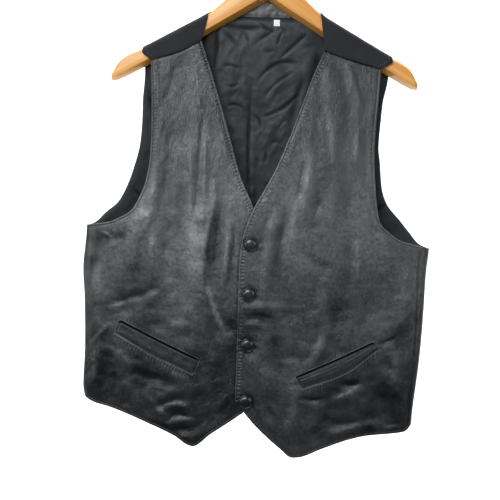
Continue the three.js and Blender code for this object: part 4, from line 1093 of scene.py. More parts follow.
def makeFront(side):
    settings = frontSettings
    base, depth, gaps = frontSurface(side)
    flip = side == "left"
    x, drop = base[..., 0], -base[..., 2]
    distance = {key: gap for key, (gap, _) in gaps.items()}
    edge = np.minimum.reduce(list(distance.values()))
    free = np.minimum.reduce([distance[key] for key in ("neck", "armhole", "hem")])
    seamed = np.minimum(distance["top"], distance["side"])

    # Creases, crumples and gathers
    relief = creaseField(frontCreases[side], x, drop) * ease(edge / 16)
    relief = relief * ramp(drop, *settings["creaseGain"])
    crumpled = crumple(x, drop, 20 if side == "left" else 50) * (0.25 + 0.75 * ease(edge / 26))
    relief = relief + crumpled * ramp(drop, *settings["crumpleGain"])
    pocket, under, outside, below, gathered, seamAlong = pocketRelief(side, x, drop)
    relief = relief * (1 - 0.85 * under) * (1 - bell(np.maximum(outside, 0), 9) * 0.75)
    if side == "left":
        relief = relief * ease((-24 - x) / 16) - 0.2
        dimples, ringShade = np.zeros_like(x), np.zeros_like(x)
    else:
        dimples, snapCalm, ringShade = snapDimples(x, drop)
        onLap = 1 - ease((x - 6) / 20)
        relief = relief * snapCalm
        relief = lerp(relief, np.maximum(relief, 0) * 0.8, onLap * ease((drop - 250) / 40))
    drawn = gatherRelief(side, x, drop)
    relief = (relief + drawn) * np.minimum(depth * 1.4, 1)
    base[..., 1] -= relief + dimples
    normals = gridNormals(base, flip)

    # Puckers along the edges, turned edges, stitch grooves and the line beside the side seam
    for key, seed, share in edgePuckers:
        gap, along = gaps[key]
        strength = np.clip(0.75 + softNoise(along, along * 0 + 40, 33, seed + 7), 0.1, 1.4)
        here = share * strength * bell(gap - 4.6, 2.3)
        wander = along + 3 * softNoise(along, along * 0, 17, seed)
        seamAlong = np.where(here > gathered, wander, seamAlong)
        gathered = np.maximum(gathered, here)
    gathered = np.clip(gathered * (1 - under), 0, 1)
    turned = 0.16 * (1 - ease((free - settings["turnedEdge"]) / 4)) * ease(edge / 1.5)
    groove = 0.42 * bell(free - settings["stitchInset"], 0.9)
    sideLine = np.zeros_like(x)
    if side == "right":
        inset = 14 - 7 * np.clip((drop - 350) / 250, 0, 1)
        sideLine = bell(ring["right"](drop) - x - inset, 1.3) * ease((drop - 352) / 8) * ease(free / 6)
    fine = pocket + turned - groove - 0.5 * bell(seamed, 2.2) - 0.8 * sideLine
    middle = base - normals * wall["leather"] / 2
    half = roundedHalf(edge, wall["leather"])
    outer = middle + normals * (half + fine)[..., None]
    inner = middle - normals * (half - np.minimum(fine, 0) * 0.9)[..., None]

    # Where the leather is paler: wear at the edges, and wear with painted sheen on ridges, gathers, the
    # pocket and the paler lines
    tone, wearAndSheenShares, shade = frontPaintedLight[side], frontWearAndSheen, frontShade
    # Painted light: a paler band across the middle of the fronts
    paintedLitMiddle = tone["paintedLitMiddle"] * ease((drop - 170) / 120) * (1 - ease((drop - 420) / 120))
    paintedLitMiddle = paintedLitMiddle * (0.8 + 0.8 * softNoise(x, drop * 0.5, 45, 8))
    wearAndSheen = wearAndSheenShares["edge"] * bell(free, 0.8) + wearAndSheenShares["ridge"] * np.clip(relief / 3, 0, 1)
    wearAndSheen = wearAndSheen + wearAndSheenShares["gathers"] * np.clip(drawn, 0, 1) + wearAndSheenShares["pocket"] * np.clip(pocket, 0, 1)
    wearAndSheen = wearAndSheen + wearAndSheenShares["lines"] * np.maximum(creaseField(wornLines[side], x, drop), 0)
    wearAndSheen = np.clip((wearAndSheen + paintedLitMiddle) * (1 - under), 0, 1)

    # Painted shade: a ring round each snap, darker high up and low down, lines beside folds, the side line,
    # the shadow of the lap, stitch grooves, seams and crease troughs; with random dark patches low down
    paintedShade = shade["rings"] * ringShade + tone["lower"] * ease((drop - 410) / 120)
    paintedShade = paintedShade + tone["upper"] * (1 - ease((drop - tone["upperEnd"]) / 190))
    patches = softNoise(x + 0.5 * drop, 0.7 * drop, 46, 33) + 0.6 * softNoise(x, drop, 22, 34)
    paintedShade = paintedShade + tone["patches"] * ease((drop - 360) / 120) * np.clip(patches - 0.05, 0, 1)
    paintedShade = paintedShade + shade["sideLine"] * sideLine
    paintedShade = paintedShade + np.maximum(creaseField(paintedShadeLines[side], x, drop), 0)
    if side == "left":
        # Painted shadow that the lapped edge of the right front casts on the left front
        lapX = smooth(frontCuts["right"]["neck"], "drop", "x")(drop)
        paintedShade = paintedShade + shade["lap"] * bell(np.maximum(lapX - x, 0), 2.6) * ease((drop - 270) / 40)
    paintedShade = paintedShade + shade["stitches"] * bell(free - settings["stitchInset"], 0.8)
    paintedShade = paintedShade + shade["seams"] * bell(seamed, 0.7)
    paintedShade = paintedShade + shade["troughs"] * np.clip(-relief / 3, 0, 1) * ease((drop - 200) / 120)
    paintedShade = np.clip(paintedShade, 0, shade["most"])

    values = {"wearAndSheen": wearAndSheen, "paintedShade": paintedShade, "gathered": gathered, "seamAlong": seamAlong,
              "pocketOutside": np.clip(outside, -20, 20), "pocketBelow": np.clip(below, -20, 20)}
    piece = closedWall(f"front_{side}_leather", outer, inner, flip, [leather, liningSatin],
                       base[..., ::2], values)
    settle(piece, "front_leather", f"front_{side}")
    print(f"{side} front made:", len(piece.data.polygons), "faces")
    return {"outer": outer, "normals": normals, "distance": distance, "base": base}


frontGrids = {side: makeFront(side) for side in ("left", "right")}


def surfaceTree(points):
    rows, columns = points.shape[:2]
    index = np.arange(rows * columns).reshape(rows, columns)
    quads = np.stack([index[:-1, :-1], index[1:, :-1], index[1:, 1:], index[:-1, 1:]], -1)
    return BVHTree.FromPolygons(points.reshape(-1, 3).tolist(), quads.reshape(-1, 4).tolist())


# The depth at which a surface shows from the front
def frontDepth(tree, x, drop):
    hit = tree.ray_cast(Vector((x, -200, -drop)), Vector((0, 1, 0)))[0]
    return hit.y if hit else 0.0


frontTrees = {side: surfaceTree(grid["outer"]) for side, grid in frontGrids.items()}

# Pocket welts: folded strips, rolled along the upper edge and stitched down on the others
weltSettings = {
    "along": 130, "across": 26, "width": 16.0, "rise": 1.7, "rolled": 0.25,
    "nearEdge": (0, 0.3, 0.8, 1.5, 2.4),
}


def makeWelt(side):
    settings, (upper, lower) = weltSettings, welts[side].values()
    top, bottom = smooth(upper, "x", "drop"), smooth(lower, "x", "drop")
    length = np.hypot(upper["x"][-1] - upper["x"][0], upper["drop"][-1] - upper["drop"][0])
    s = spread(length, settings["along"], settings["nearEdge"])
    t = spread(settings["width"], settings["across"], settings["nearEdge"])[:, None]
    upperX, lowerX = (lerp(rows["x"][0], rows["x"][-1], s) for rows in (upper, lower))
    x, drop = lerp(upperX, lowerX, t), lerp(top(upperX), bottom(lowerX), t)
    y = np.array([[frontDepth(frontTrees[side], *spot) for spot in zip(*row)] for row in zip(x, drop)])
    shoulder = lerp(y[4:-4].min(0), y[4:-4].max(0), 0.35)
    base = np.stack([x, lerp(np.minimum(y, shoulder), shoulder, 0.6), -drop], -1)
    fromTop, fromLow = t * settings["width"] + 0 * x, (1 - t) * settings["width"] + 0 * x
    fromEnds = np.minimum(s, 1 - s) * length + 0 * x
    sewn = np.minimum(fromLow, fromEnds)
    rise = settings["rise"] * (0.45 + 0.55 * ease(sewn / 2.2))
    rise = rise + settings["rolled"] * bell(fromTop - 1.6, 2.4) * ease(fromEnds / 5)
    rise = rise + 0.18 * softNoise(x, drop, 9, 31) - 0.25 * bell(sewn - 2.6, 0.8)
    middle = base.copy()
    middle[..., 1] -= rise - wall["welt"] / 2
    # Slightly paler from wear near the sewn edges, with painted shade along the stitch groove
    wearAndSheen, paintedShade = 0.08 + 0.08 * bell(sewn - 1.0, 0.9), 0.5 * bell(sewn - 2.6, 0.7)
    # On the right welt, a groove under the rolled top with painted shade in it and a painted highlight
    # along the roll
    if side == "right":
        lip = ease(fromEnds / 3)
        middle[..., 1] += 0.5 * bell(fromTop - 4.4, 0.9) * lip
        paintedShade = np.maximum(paintedShade, 0.95 * bell(fromTop - 4.6, 0.8) * lip)
        wearAndSheen = wearAndSheen + 0.4 * bell(fromTop - 2.9, 0.7) * lip
    offset = gridNormals(middle, False) * roundedHalf(np.minimum(sewn, fromTop), wall["welt"])[..., None]
    piece = closedWall(f"pocket_welt_{side}_leather", middle + offset, middle - offset, False,
                       [weltLeather, weltLeather], base[..., ::2], {"wearAndSheen": wearAndSheen, "paintedShade": paintedShade})
    settle(piece, "front_leather", f"pocket_welt_{side}")


for side in welts:
    makeWelt(side)
print("pocket welts made")

# Back with its two shoulder straps, cut in one
backCut = {
    "left": table(
        "x drop", (-175.1, 71.1), (-172.5, 98.8), (-174.6, 138.9), (-174.5, 172.4), (-176.2, 206),
        (-186.6, 251.6), (-194.3, 273.7), (-206.2, 296.8), (-221.9, 311), (-238.5, 328),
    ),
    "right": table(
        "x drop", (186.2, 76), (183.1, 101.7), (176.8, 133.5), (174.4, 170.7), (172.9, 204.1),
        (175.6, 226.4), (179.6, 263.7), (187.9, 287.7), (209.2, 313.2), (221, 327.8), (236, 345),
    ),
    "hem": table("x drop", (-244, 580), (-150, 584), (0, 588), (150, 597), (233, 605)),
    "strapLeft": -82.5, "strapRight": 81.4, "neckRise": -10, "neckSpan": 82,
    "endLeft": 580.0, "endRight": 605.0,
}
backSettings = {
    "corner": 0.62, "length": 598, "gapTurn": 0.013, "archHeight": 9.2, "strapRise": 1.9,
    "steepRise": 1.1, "stitchInset": 5.5, "rows": 205, "strapRows": 20, "archRows": 12,
    "seamGap": 0.55, "strapColumns": 40, "neckColumns": 66, "nearEdge": (0, 0.3, 0.8, 1.5, 2.4, 3.4, 5),
}
band = {"drop": 32.0, "half": 66.0, "fade": 34.0, "shift": 36.0}
arm = table(
    "out top front back",
    (0, -34, -8.5, -1.8), (20, -29, 4.2, 10.6), (40, -17.5, 16.8, 22.8), (55, -4.8, 26, 31.8),
    (66, 5.5, 32.8, 38.4), (76, 14.2, 39, 44.4), (82, 20.2, 42.6, 48), (184, 77.8, 98.9, 104.9),
    (193, 81.4, 104.6, 109.9), (201, 85.6, 109.6, 114.3), (208, 91, 113.6, 117.9),
    (213.5, 97, 116.4, 120.3), (218, 105, 118.4, 121.8), (221.5, 114, 119.6, 122.2),
)
backCreases = table(
    creaseColumns,
    (-118, 130, -120, 240, -108, 345, 3.2, 22, 0),
    (96, 150, 98, 250, 82, 352, 3.4, 20, 0),
    (-232, 352, -176, 400, -112, 424, -2.8, 15, 0.2),
    (228, 368, 170, 416, 104, 446, -3.0, 15, -0.2),
    (-66, 452, 4, 470, 78, 474, -2.6, 12, 0),
    (-14, 160, -20, 250, -6, 330, -2.2, 15, 0),
    (-168, 512, -112, 545, -52, 560, 2.6, 12, 0.2),
    (54, 524, 112, 548, 176, 556, 2.8, 13, 0),
    (-150, 84, -140, 130, -146, 190, 1.6, 8, 0),
    (150, 92, 140, 140, 148, 200, 1.7, 8, 0),
    (-70, 20, -30, 40, -10, 84, 1.8, 10, 0.2),
    (70, 24, 34, 48, 16, 92, 1.7, 9, -0.2),
    (-190, 430, -150, 470, -146, 520, 1.6, 10, 0),
    (176, 440, 150, 478, 152, 530, 1.8, 10, 0),
    (-60, 300, -40, 360, -60, 430, 1.8, 11, 0.2),
    (40, 320, 30, 380, 48, 440, 1.6, 10, 0),
    (-220, 480, -190, 500, -176, 560, -1.6, 9, 0),
    (214, 500, 196, 530, 190, 580, -1.7, 9, 0),
    (-8, 500, 6, 540, -4, 584, 1.6, 12, 0),
    (-100, 70, -96, 110, -104, 160, -1.4, 9, 0),
    (110, 84, 106, 130, 112, 180, -1.5, 9, 0),
)


def armTop(out):
    return np.interp(out, arm["out"], arm["top"])


def foldDrop(x):
    out = np.abs(x - hanging["middle"])
    steep = ease((backCut["neckSpan"] + 6 - out) / 8)
    return armTop(out) - backSettings["strapRise"] - backSettings["steepRise"] * steep


def neckDrop(x):
    out = (x - hanging["middle"]) / backCut["neckSpan"]
    fall = foldDrop(np.array(hanging["middle"] + backCut["neckSpan"])) - backCut["neckRise"]
    return backCut["neckRise"] + fall * out * out


def backPattern():
    def build(key, underarm, hemEnd, seamTurn):
        rows = backCut[key]
        drops = rows["drop"].copy()
        drops[0] = foldDrop(rows["x"][0])
        turns = np.append(turnAt(rows["x"], drops, True), seamTurn)
        upper = pathThrough(turns, np.append(drops, underarm))
        lower = pathThrough(np.full(2, seamTurn), np.array([underarm, hemEnd], float))
        return joined(upper, lower, backSettings["corner"])

    seamTurn = seam["sideTurn"] + backSettings["gapTurn"]
    return {
        "left": build("left", frontCuts["left"]["underarm"], backCut["endLeft"], 4 - seamTurn),
        "right": build("right", frontCuts["right"]["underarm"], backCut["endRight"], seamTurn),
    }


backShape = backPattern()
backHem = smooth(backCut["hem"], "x", "drop")


# How far the rows rise above an even fall, so that the neck band's lower edge is level
def bandRise(x, fall):
    out = np.abs(x - hanging["middle"])
    inside = hanging["middle"] + np.minimum(out, band["half"])
    sag = neckDrop(inside) - backCut["neckRise"]
    aside = 1 - ease((out - band["half"]) / band["fade"])
    near = (fall - backSettings["archHeight"]) / (band["drop"] - backSettings["archHeight"])
    far = 1 - (fall - band["drop"]) / band["shift"]
    return sag * aside * np.maximum(np.minimum(near, far), 0)


def backPlace(u, evenFall):
    topTurn = lerp(backShape["left"](0.0)[0], backShape["right"](0.0)[0], u)
    x = ringPoint(topTurn, np.full(u.shape, 40.0))[0]
    fall = evenFall - bandRise(x, evenFall)
    v = fall / backSettings["length"]
    (turnL, dropL), (turnR, dropR) = backShape["left"](v), backShape["right"](v)
    turn = lerp(turnL, turnR, u)
    aside = (2 * u - 1) ** 2
    nearer = np.where(u < 0.5, dropL, dropR)
    drop = lerp(backCut["neckRise"] + fall, nearer, aside)
    strapped = (x < backCut["strapLeft"] + 0.01) | (x > backCut["strapRight"] - 0.01)
    drop = lerp(np.where(strapped, foldDrop(x), neckDrop(x)) + fall, drop, ease(v / 0.25))
    late = np.maximum((v - 0.6) / 0.4, 0) ** 2
    hemX = ringPoint(turn, np.full(u.shape, 600.0))[0]
    ends = np.where(u < 0.5, backShape["left"](1.0)[1], backShape["right"](1.0)[1])
    hemBase = lerp(backCut["neckRise"] + backSettings["length"], ends, aside)
    return turn, drop + late * (backHem(hemX) - hemBase)


def backBase(u, fall):
    turn, drop = backPlace(u, fall)
    x, y, depth = ringPoint(turn, drop)
    share = np.clip((drop - foldDrop(x)) / backSettings["archHeight"], 0, 1)
    arch = np.sqrt(1 - (1 - share) ** 2)
    return np.stack([x, y * arch, -drop], -1), depth * (y > 0)


# A strap from the fold forward and down to the front's seam; step runs from 0 to 1 over
# the arch and on to 2 at the seam.
def strapBase(x, step):
    points = []
    for key, inner, neck, outer in (("left", "strapLeft", -1, 0), ("right", "strapRight", 0, -1)):
        rows = frontCuts[key]["seam"]
        share = (x - backCut[inner]) / (backCut[key]["x"][0] - backCut[inner])
        seamX = lerp(rows["x"][neck], rows["x"][outer], share)
        points.append((seamX, smooth(rows, "x", "drop")(seamX) - backSettings["seamGap"]))
    seamX, seamDrop = (np.where(x < 0, left, right) for left, right in zip(*points))
    angle = math.pi / 2 * np.clip(step, 0, 1)
    archDrop = foldDrop(x) + backSettings["archHeight"] * (1 - np.cos(angle))
    down = np.clip(step - 1, 0, 1)
    drop = lerp(archDrop, seamDrop, down)
    y = -ring["front"](drop) * np.sin(angle)
    return np.stack([lerp(x, seamX, down), y, -drop], -1)


# Shares across the back, closer together at the edges of the straps, with the numbers of the
# two columns that run along the straps' inner edges
def backColumns():
    start, end = backShape["left"](0.0)[0], backShape["right"](0.0)[0]
    edges = np.array([backCut["strapLeft"], backCut["strapRight"]])
    inner, outer = (turnAt(edges, np.full(2, 40.0), True) - start) / (end - start)
    near, strap = backSettings["nearEdge"], backSettings["strapColumns"]
    first = spread(100.0, strap, near) * inner
    middle = lerp(inner, outer, spread(165.0, backSettings["neckColumns"], near))
    last = lerp(outer, 1, spread(100.0, strap, near))
    shares = np.concatenate([first, middle[1:], last[1:]])
    return shares, len(first) - 1, len(first) + len(middle) - 2


def makeBack():
    settings = backSettings
    shares, innerColumn, outerColumn = backColumns()
    near, length = settings["nearEdge"], settings["length"]
    flat = np.maximum(2 - spread(28.0, settings["strapRows"], near[:4])[:-1], 1)
    steps = np.concatenate([flat, np.linspace(1, 0, settings["archRows"])[:-1]])
    late = 12 + (length - 12) * spread(length, settings["rows"], near)
    falls = np.concatenate([np.linspace(0, 12, 14), late[1:]])
    lower, depth = backBase(*np.meshgrid(shares, falls))
    upper = strapBase(*np.meshgrid(lower[0, :, 0], steps))
    base = np.concatenate([upper, lower])
    depth = np.concatenate([np.zeros(upper.shape[:2]), depth])
    strapRows = len(steps)
    cells = allCells(base)
    cells[:strapRows, innerColumn:outerColumn] = False
    lines = {
        "armLeft": base[:, 0], "armRight": base[:, -1], "hem": base[-1],
        "seamLeft": base[0, :innerColumn + 1], "seamRight": base[0, outerColumn:],
        "strapLeft": base[:strapRows + 1, innerColumn], "strapRight": base[:strapRows + 1, outerColumn],
        "neck": base[strapRows, innerColumn:outerColumn + 1],
    }
    distance = {key: distanceFrom(base, line)[0] for key, line in lines.items()}
    edge = np.minimum.reduce(list(distance.values()))
    free = np.minimum.reduce([distance[key] for key in ("armLeft", "armRight", "neck", "hem")])
    seamed = np.minimum(distance["seamLeft"], distance["seamRight"])
    x, drop = base[..., 0], -base[..., 2]
    waves = 1.1 * softNoise(x, drop * 0.6, 30, 71) + 0.5 * softNoise(x, drop * 0.7, 13, 72)
    waves = waves + 0.5 * (0.5 - np.abs(softNoise(x, drop * 0.7, 21, 73)))
    relief = creaseField(backCreases, x, drop) + waves * (0.3 + 0.7 * ease(edge / 20))
    relief = relief * np.minimum(depth * 1.2, 1) * ease((drop - foldDrop(x)) / 60)
    base[..., 1] += relief * ease(edge / 10)
    normals = gridNormals(base, True, cells)
    onStrap = (base[..., 1] < 0) & (drop < 120)
    fromStitch = free - settings["stitchInset"]
    fine = 0.3 * (1 - ease((free - 7) / 2)) * ease(edge / 1.2) - 0.35 * bell(fromStitch, 0.8)
    fine = fine - 0.35 * bell(seamed - 1.2, 1.2) + 0.12 * softNoise(x, drop, 12, 77) * onStrap
    middle = base - normals * wall["back"] / 2
    half = roundedHalf(edge, wall["back"])
    outer, inner = middle + normals * (half + fine)[..., None], middle - normals * half[..., None]
    # Paler at the free edges and on ridges, as wear and painted sheen; painted shade along the stitch
    # grooves and seams
    wearAndSheen = 0.25 * bell(free, 1.0) + 0.1 * np.clip(relief / 3, 0, 1)
    paintedShade = np.clip(0.6 * bell(fromStitch, 0.8) + 0.8 * bell(seamed, 1.0), 0, 1)
    piece = closedWall("back_cloth", outer, inner, True, [backSatin, liningSatin], base[..., ::2],
                       {"wearAndSheen": wearAndSheen, "paintedShade": paintedShade}, cells)
    settle(piece, "back_cloth", "back")
    print("back made:", len(piece.data.polygons), "faces")
    return {"outer": outer, "distance": distance, "normals": normals}


backGrid = makeBack()

# Lining of the back, which shows in the neck: thin, and creased all over
liningCreases = table(
    creaseColumns,
    (-64, 35, -30, 38, 6, 37, -2.0, 2.0, 0),
    (-8, 30, 6, 40, 16, 40, -2.2, 2.0, 0),
    (20, 40, 26, 38, 34, 48, -1.5, 1.8, 0),
    (28, 42, 22, 52, 20, 62, -2.2, 1.7, 0),
    (14, 42, -2, 52, -12, 62, -2.2, 1.9, 0),
    (64, 44, 44, 60, 22, 84, -2.8, 2.2, 0.2),
    (74, 58, 66, 62, 56, 64, -1.2, 2.0, 0),
    (16, 69, 8, 72, 2, 70, -1.8, 1.8, 0),
    (52, 88, 20, 88, -8, 116, -2.8, 2.2, 0.2),
    (46, 99, 24, 114, 4, 136, -2.2, 1.9, 0.1),
    (54, 130, 30, 152, 2, 166, -2.8, 2.2, 0.2),
    (44, 176, 34, 172, 24, 186, -1.3, 2.0, 0),
    (62, 108, 50, 142, 42, 190, -1.6, 5.0, 0),
    (-28, 44, -24, 52, -20, 60, -1.6, 1.8, 0),
    (-60, 44, -48, 54, -34, 66, -1.5, 1.9, 0),
    (-68, 34, -69, 66, -72, 100, -2.6, 2.4, 0.3),
    (-52, 154, -40, 150, -27, 156, -2.4, 1.8, 0.1),
    (-56, 122, -44, 124, -34, 118, -1.4, 2.2, 0),
    (-60, 96, -48, 94, -36, 100, -1.1, 2.6, 0),
    (-12, 166, -4, 172, 0, 186, -1.6, 1.9, 0),
    (-15, 110, -19, 200, -15, 300, -2.4, 2.6, 0.1),
    (-10, 190, -12, 230, -10, 300, 1.6, 5, 0.2),
    (-27, 96, -26, 130, -22, 170, 0.9, 5, 0),
    (6, 212, 8, 222, 6, 236, -1.3, 2.2, 0),
    (-8, 224, -4, 230, 0, 232, -1.4, 2.0, 0),
    (14, 206, 22, 202, 30, 206, -1.1, 3.0, 0),
    (10, 262, 14, 270, 18, 284, -1.8, 2.2, 0),
    (34, 108, 20, 124, 6, 152, 1.2, 5, 0),
    (40, 70, 30, 82, 12, 92, 1.0, 4.5, 0),
    (36, 160, 24, 172, 8, 182, 1.0, 5, 0),
    (-40, 70, -46, 100, -44, 140, 0.8, 7, 0),
    (80, 70, 74, 110, 62, 150, -2.4, 5, 0),
    (-110, 150, -92, 230, -60, 320, -3.0, 6, 0),
    (110, 190, 92, 260, 60, 330, -3.0, 6, 0),
    (-170, 130, -150, 190, -156, 260, -2.0, 5, 0),
    (168, 140, 154, 200, 158, 270, -2.0, 5, 0),
    (-190, 270, -170, 286, -140, 290, -1.8, 3, 0),
    (192, 282, 172, 296, 146, 300, -1.8, 3, 0),
    (-150, 400, -96, 426, -40, 430, -3.0, 6, 0),
    (40, 410, 100, 444, 160, 460, -3.2, 6, 0),
    (-90, 520, 0, 522, 90, 505, -2.8, 6, 0),
    (-200, 360, -170, 400, -176, 460, -2.6, 5, 0),
    (196, 380, 168, 420, 176, 480, -2.6, 5, 0),
    (-130, 470, -120, 500, -130, 550, -2.4, 5, 0),
    (120, 480, 110, 510, 122, 560, -2.4, 5, 0),
    (0, 330, -8, 380, 6, 430, -2.8, 5, 0),
)


# Shares of a length that lie closer together between two of its shares
def closerAt(count, low, high, part):
    start = (1 - part) * low / (low + 1 - high)
    return np.interp(np.linspace(0, 1, count), (0, start, start + part, 1), (0, low, high, 1))


# A layer inside the back, on a grid of shares across it and of falls; gives its inner face
def makeInnerLayer(name, shares, falls, thick, reliefOf, material, slotName, node):
    base, depth = backBase(*np.meshgrid(shares, falls))
    base = base - gridNormals(base, True) * (wall["back"] + seam["layer"])
    lines = [base[:, 0], base[:, -1], base[0], base[-1]]
    edge = np.minimum.reduce([distanceFrom(base, line)[0] for line in lines])
    x, drop = base[..., 0], -base[..., 2]
    relief, paintedShade = reliefOf(x, drop, edge)
    base[..., 1] -= np.maximum(relief * np.minimum(depth * 1.2, 1), 0)
    normals = gridNormals(base, True)
    middle = base - normals * thick / 2
    offset = normals * roundedHalf(edge, thick)[..., None]
    piece = closedWall(name, middle + offset, middle - offset, True, [material, material],
                       base[..., ::2], {"wearAndSheen": 0 * x, "paintedShade": np.clip(paintedShade, 0, 1)})
    settle(piece, slotName, node)
    return middle - offset


def liningRelief(x, drop, edge):
    creases = creaseField(liningCreases, x, drop)
    flow = x + 7 * softNoise(x, drop, 40, 81)
    waves = 1.5 * softNoise(flow, drop * 0.8, 38, 82) + 0.5 * softNoise(flow, drop, 14, 83)
    pleats = 0.5 - np.abs(softNoise(flow + 0.6 * drop, drop * 0.7 - 0.5 * x, 20, 84))
    waves = waves + 0.7 * pleats + 0.22 * softNoise(flow, drop, 6, 85)
    # Painted shade in the creases and towards both sides of the neck opening
    paintedShade = 0.85 * np.clip(-creases / 2.0, 0, 1) ** 1.3 + 0.5 * np.clip((x - 60) / 16, 0, 1)
    paintedShade = paintedShade + 0.55 * np.clip((-64 - x) / 6, 0, 1)
    return (2.9 + creases + waves) * ease(edge / 7), paintedShade * ease(edge / 3)


def bandRelief(x, drop, edge):
    slanted = x + 0.55 * drop
    waves = 0.9 * np.abs(softNoise(slanted * 1.6, drop * 0.6, 9, 91))
    waves = waves + 0.4 * softNoise(slanted * 1.5, drop, 6, 92) + 0.4 * softNoise(x * 0.6, drop, 24, 93)
    # The second value is painted shade, darker in the troughs of the waves
    return (0.8 + waves) * ease(edge / 5), 0.5 - waves


lastFall = lerp(backSettings["length"], backSettings["length"] - 28, 0.35)
liningInside = makeInnerLayer(
    "back_lining_cloth", lerp(0.006, 0.994, closerAt(204, 0.34, 0.66, 0.58)),
    lerp(band["drop"] + 0.5, lastFall, closerAt(220, 0, 0.52, 0.68)),
    wall["lining"], liningRelief, liningSatin, "lining_cloth", "back_lining")
bandEdge = (0, 0.3, 0.8, 1.5, 2.4, 4)
makeInnerLayer(
    "neck_band_leather", lerp(0.372, 0.632, spread(129.0, 110, bandEdge)),
    lerp(0.3, band["drop"] - 0.2, spread(32.0, 36, bandEdge)),
    wall["facing"], bandRelief, bandLeather, "facing_leather", "back_neck_facing")
print("lining and neck band made")

# Neck label: a bare woven tape
labelSettings = {"count": 14, "width": 8.8, "height": 9.3, "inset": 0.1, "thick": 0.45, "curl": 0.35}


def makeLabel():
    settings = labelSettings
    shift = np.array([hanging["middle"], 0, hanging["throatDrop"]])
    low, high = (np.array(corner) * 1000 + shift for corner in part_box("neck_label"))
    skin = surfaceTree(liningInside)
    nearest = min(frontDepth(skin, x, -z) for x in np.linspace(low[0], high[0], 5)
                  for z in np.linspace(low[2], high[2], 5))
    s, t = np.meshgrid(np.linspace(0, 1, settings["count"]), np.linspace(0, 1, settings["count"]))
    x = lerp(low[0] + settings["inset"], high[0] - settings["inset"], s)
    z = lerp(high[2] - settings["inset"], low[2] + settings["inset"], t)
    curl = settings["curl"] * ((2 * s - 1) ** 2 * t + 0.6 * np.sin(t * 4 + s))
    base = np.stack([x, nearest - settings["thick"] / 2 - 0.2 - curl, z], -1)
    edge = np.minimum(np.minimum(s, 1 - s) * settings["width"], np.minimum(t, 1 - t) * settings["height"])
    offset = gridNormals(base, False) * roundedHalf(edge, settings["thick"])[..., None]
    piece = closedWall("neck_label_tape", base + offset, base - offset, False, [tape, tape],
                       base[..., ::2], {"wearAndSheen": 0 * s, "paintedShade": 0 * s})
    settle(piece, "label_tape", "neck_label")


makeLabel()

# Snap caps
# How much paler each snap's dome is painted, as wear and painted reflection, palest at the top
snapSettings = {"sides": 56, "worn": (1.0, 0.85, 0.35, 0.15)}
snapProfile = table(
    "along radius height",
    (0, 0.05, 0), (1, 9.3, 0), (1.3, 9.9, 0.35), (1.7, 10, 0.95), (2.2, 9.7, 1.6), (2.6, 9.1, 1.95),
    (3.0, 8.8, 1.8), (3.3, 8.5, 1.5), (3.6, 8.2, 1.5), (4.0, 7.7, 1.9), (4.7, 6.4, 2.65),
    (5.6, 4.6, 3.2), (6.5, 2.4, 3.5), (7.4, 0.05, 3.6),
)


def enamelMaterial():
    material, tree, shader = newMaterial("snapEnamel")
    marks = noiseNode(tree, placeOf(tree, "Object"), 420, 4, 0.6)
    share = mathNode(tree, "MULTIPLY", attributeOf(tree, "wearAndSheen"), remap(tree, marks, 0.35, 0.65))
    bumpInto(tree, shader, marks, 0.03, 0.0001)
    feed(tree, shader.inputs, {
        "Base Color": mixColour(tree, share, (0.002, 0.002, 0.0026), (0.03, 0.031, 0.033)),
        "Roughness": remap(tree, marks, 0.3, 0.7, 0.3, 0.36), "Specular IOR Level": 0.55,
    })
    return material


def makeSnap(node, worn, enamel):
    low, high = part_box(node)
    along = np.concatenate([np.linspace(0, 1, 3)[:-1], np.linspace(1, 7.4, 40)])
    radius, height = (smooth(snapProfile, "along", key)(along)[:, None] for key in ("radius", "height"))
    count = snapSettings["sides"]
    angle = np.arange(count) * 2 * math.pi / count
    points = np.stack([(low.x + high.x) / 2 + radius * np.cos(angle) / 1000,
                       high.y - height * np.ones(count) / 1000,
                       (low.z + high.z) / 2 + radius * np.sin(angle) / 1000], -1)
    # The dome inside the rim gets the paler enamel: wear and painted reflection
    wearAndSheen = np.repeat(worn * ease((8.2 - radius[:, 0]) / 2) * (along > 3.3), count)
    settle(tube(f"{node}_enamel", points, enamel, values={"wearAndSheen": wearAndSheen}), "snap_enamel", node)


enamel = enamelMaterial()
for k, worn in enumerate(snapSettings["worn"]):
    makeSnap(f"snap_cap_{k + 1}", worn, enamel)
print("label and snaps made")

# Hanger: two arms cut from one board, rounded on top, with a steel hook
hangerSettings = {"step": 2.2, "blend": 3.0, "corner": 1.0, "topSteps": 14, "tip": 8, "narrowing": 9}


def woodMaterial():
    material, tree, shader = newMaterial("beechWood")
    where = placeOf(tree, "UV")
    lines = noiseNode(tree, stretched(tree, where, (3.2, 60, 1)), 1.6, 6, 0.62, 0.5)
    fibre = noiseNode(tree, stretched(tree, where, (14, 700, 1)), 1, 3, 0.6)
    broad = noiseNode(tree, where, 9, 2)
    tone = combined(tree, "ADD", (lines, 0.6), (fibre, 0.25), (broad, 0.15))
    bumpInto(tree, shader, fibre, 0.12, 0.0002)
    feed(tree, shader.inputs, {
        "Base Color": mixColour(tree, remap(tree, tone, 0.36, 0.66), (0.5, 0.19, 0.03), (0.8, 0.4, 0.085)),
        "Roughness": remap(tree, fibre, 0.3, 0.7, 0.42, 0.56), "Coat Weight": 0.18,
        "Coat Roughness": 0.18,
    })
    return material


def roundCorner(before, corner, after, radius, steps=4):
    start = corner + (before - corner) / np.linalg.norm(before - corner) * radius
    end = corner + (after - corner) / np.linalg.norm(after - corner) * radius
    t = np.linspace(0, 1, steps)[:, None]
    return (1 - t) ** 2 * start + 2 * t * (1 - t) * corner + t * t * end


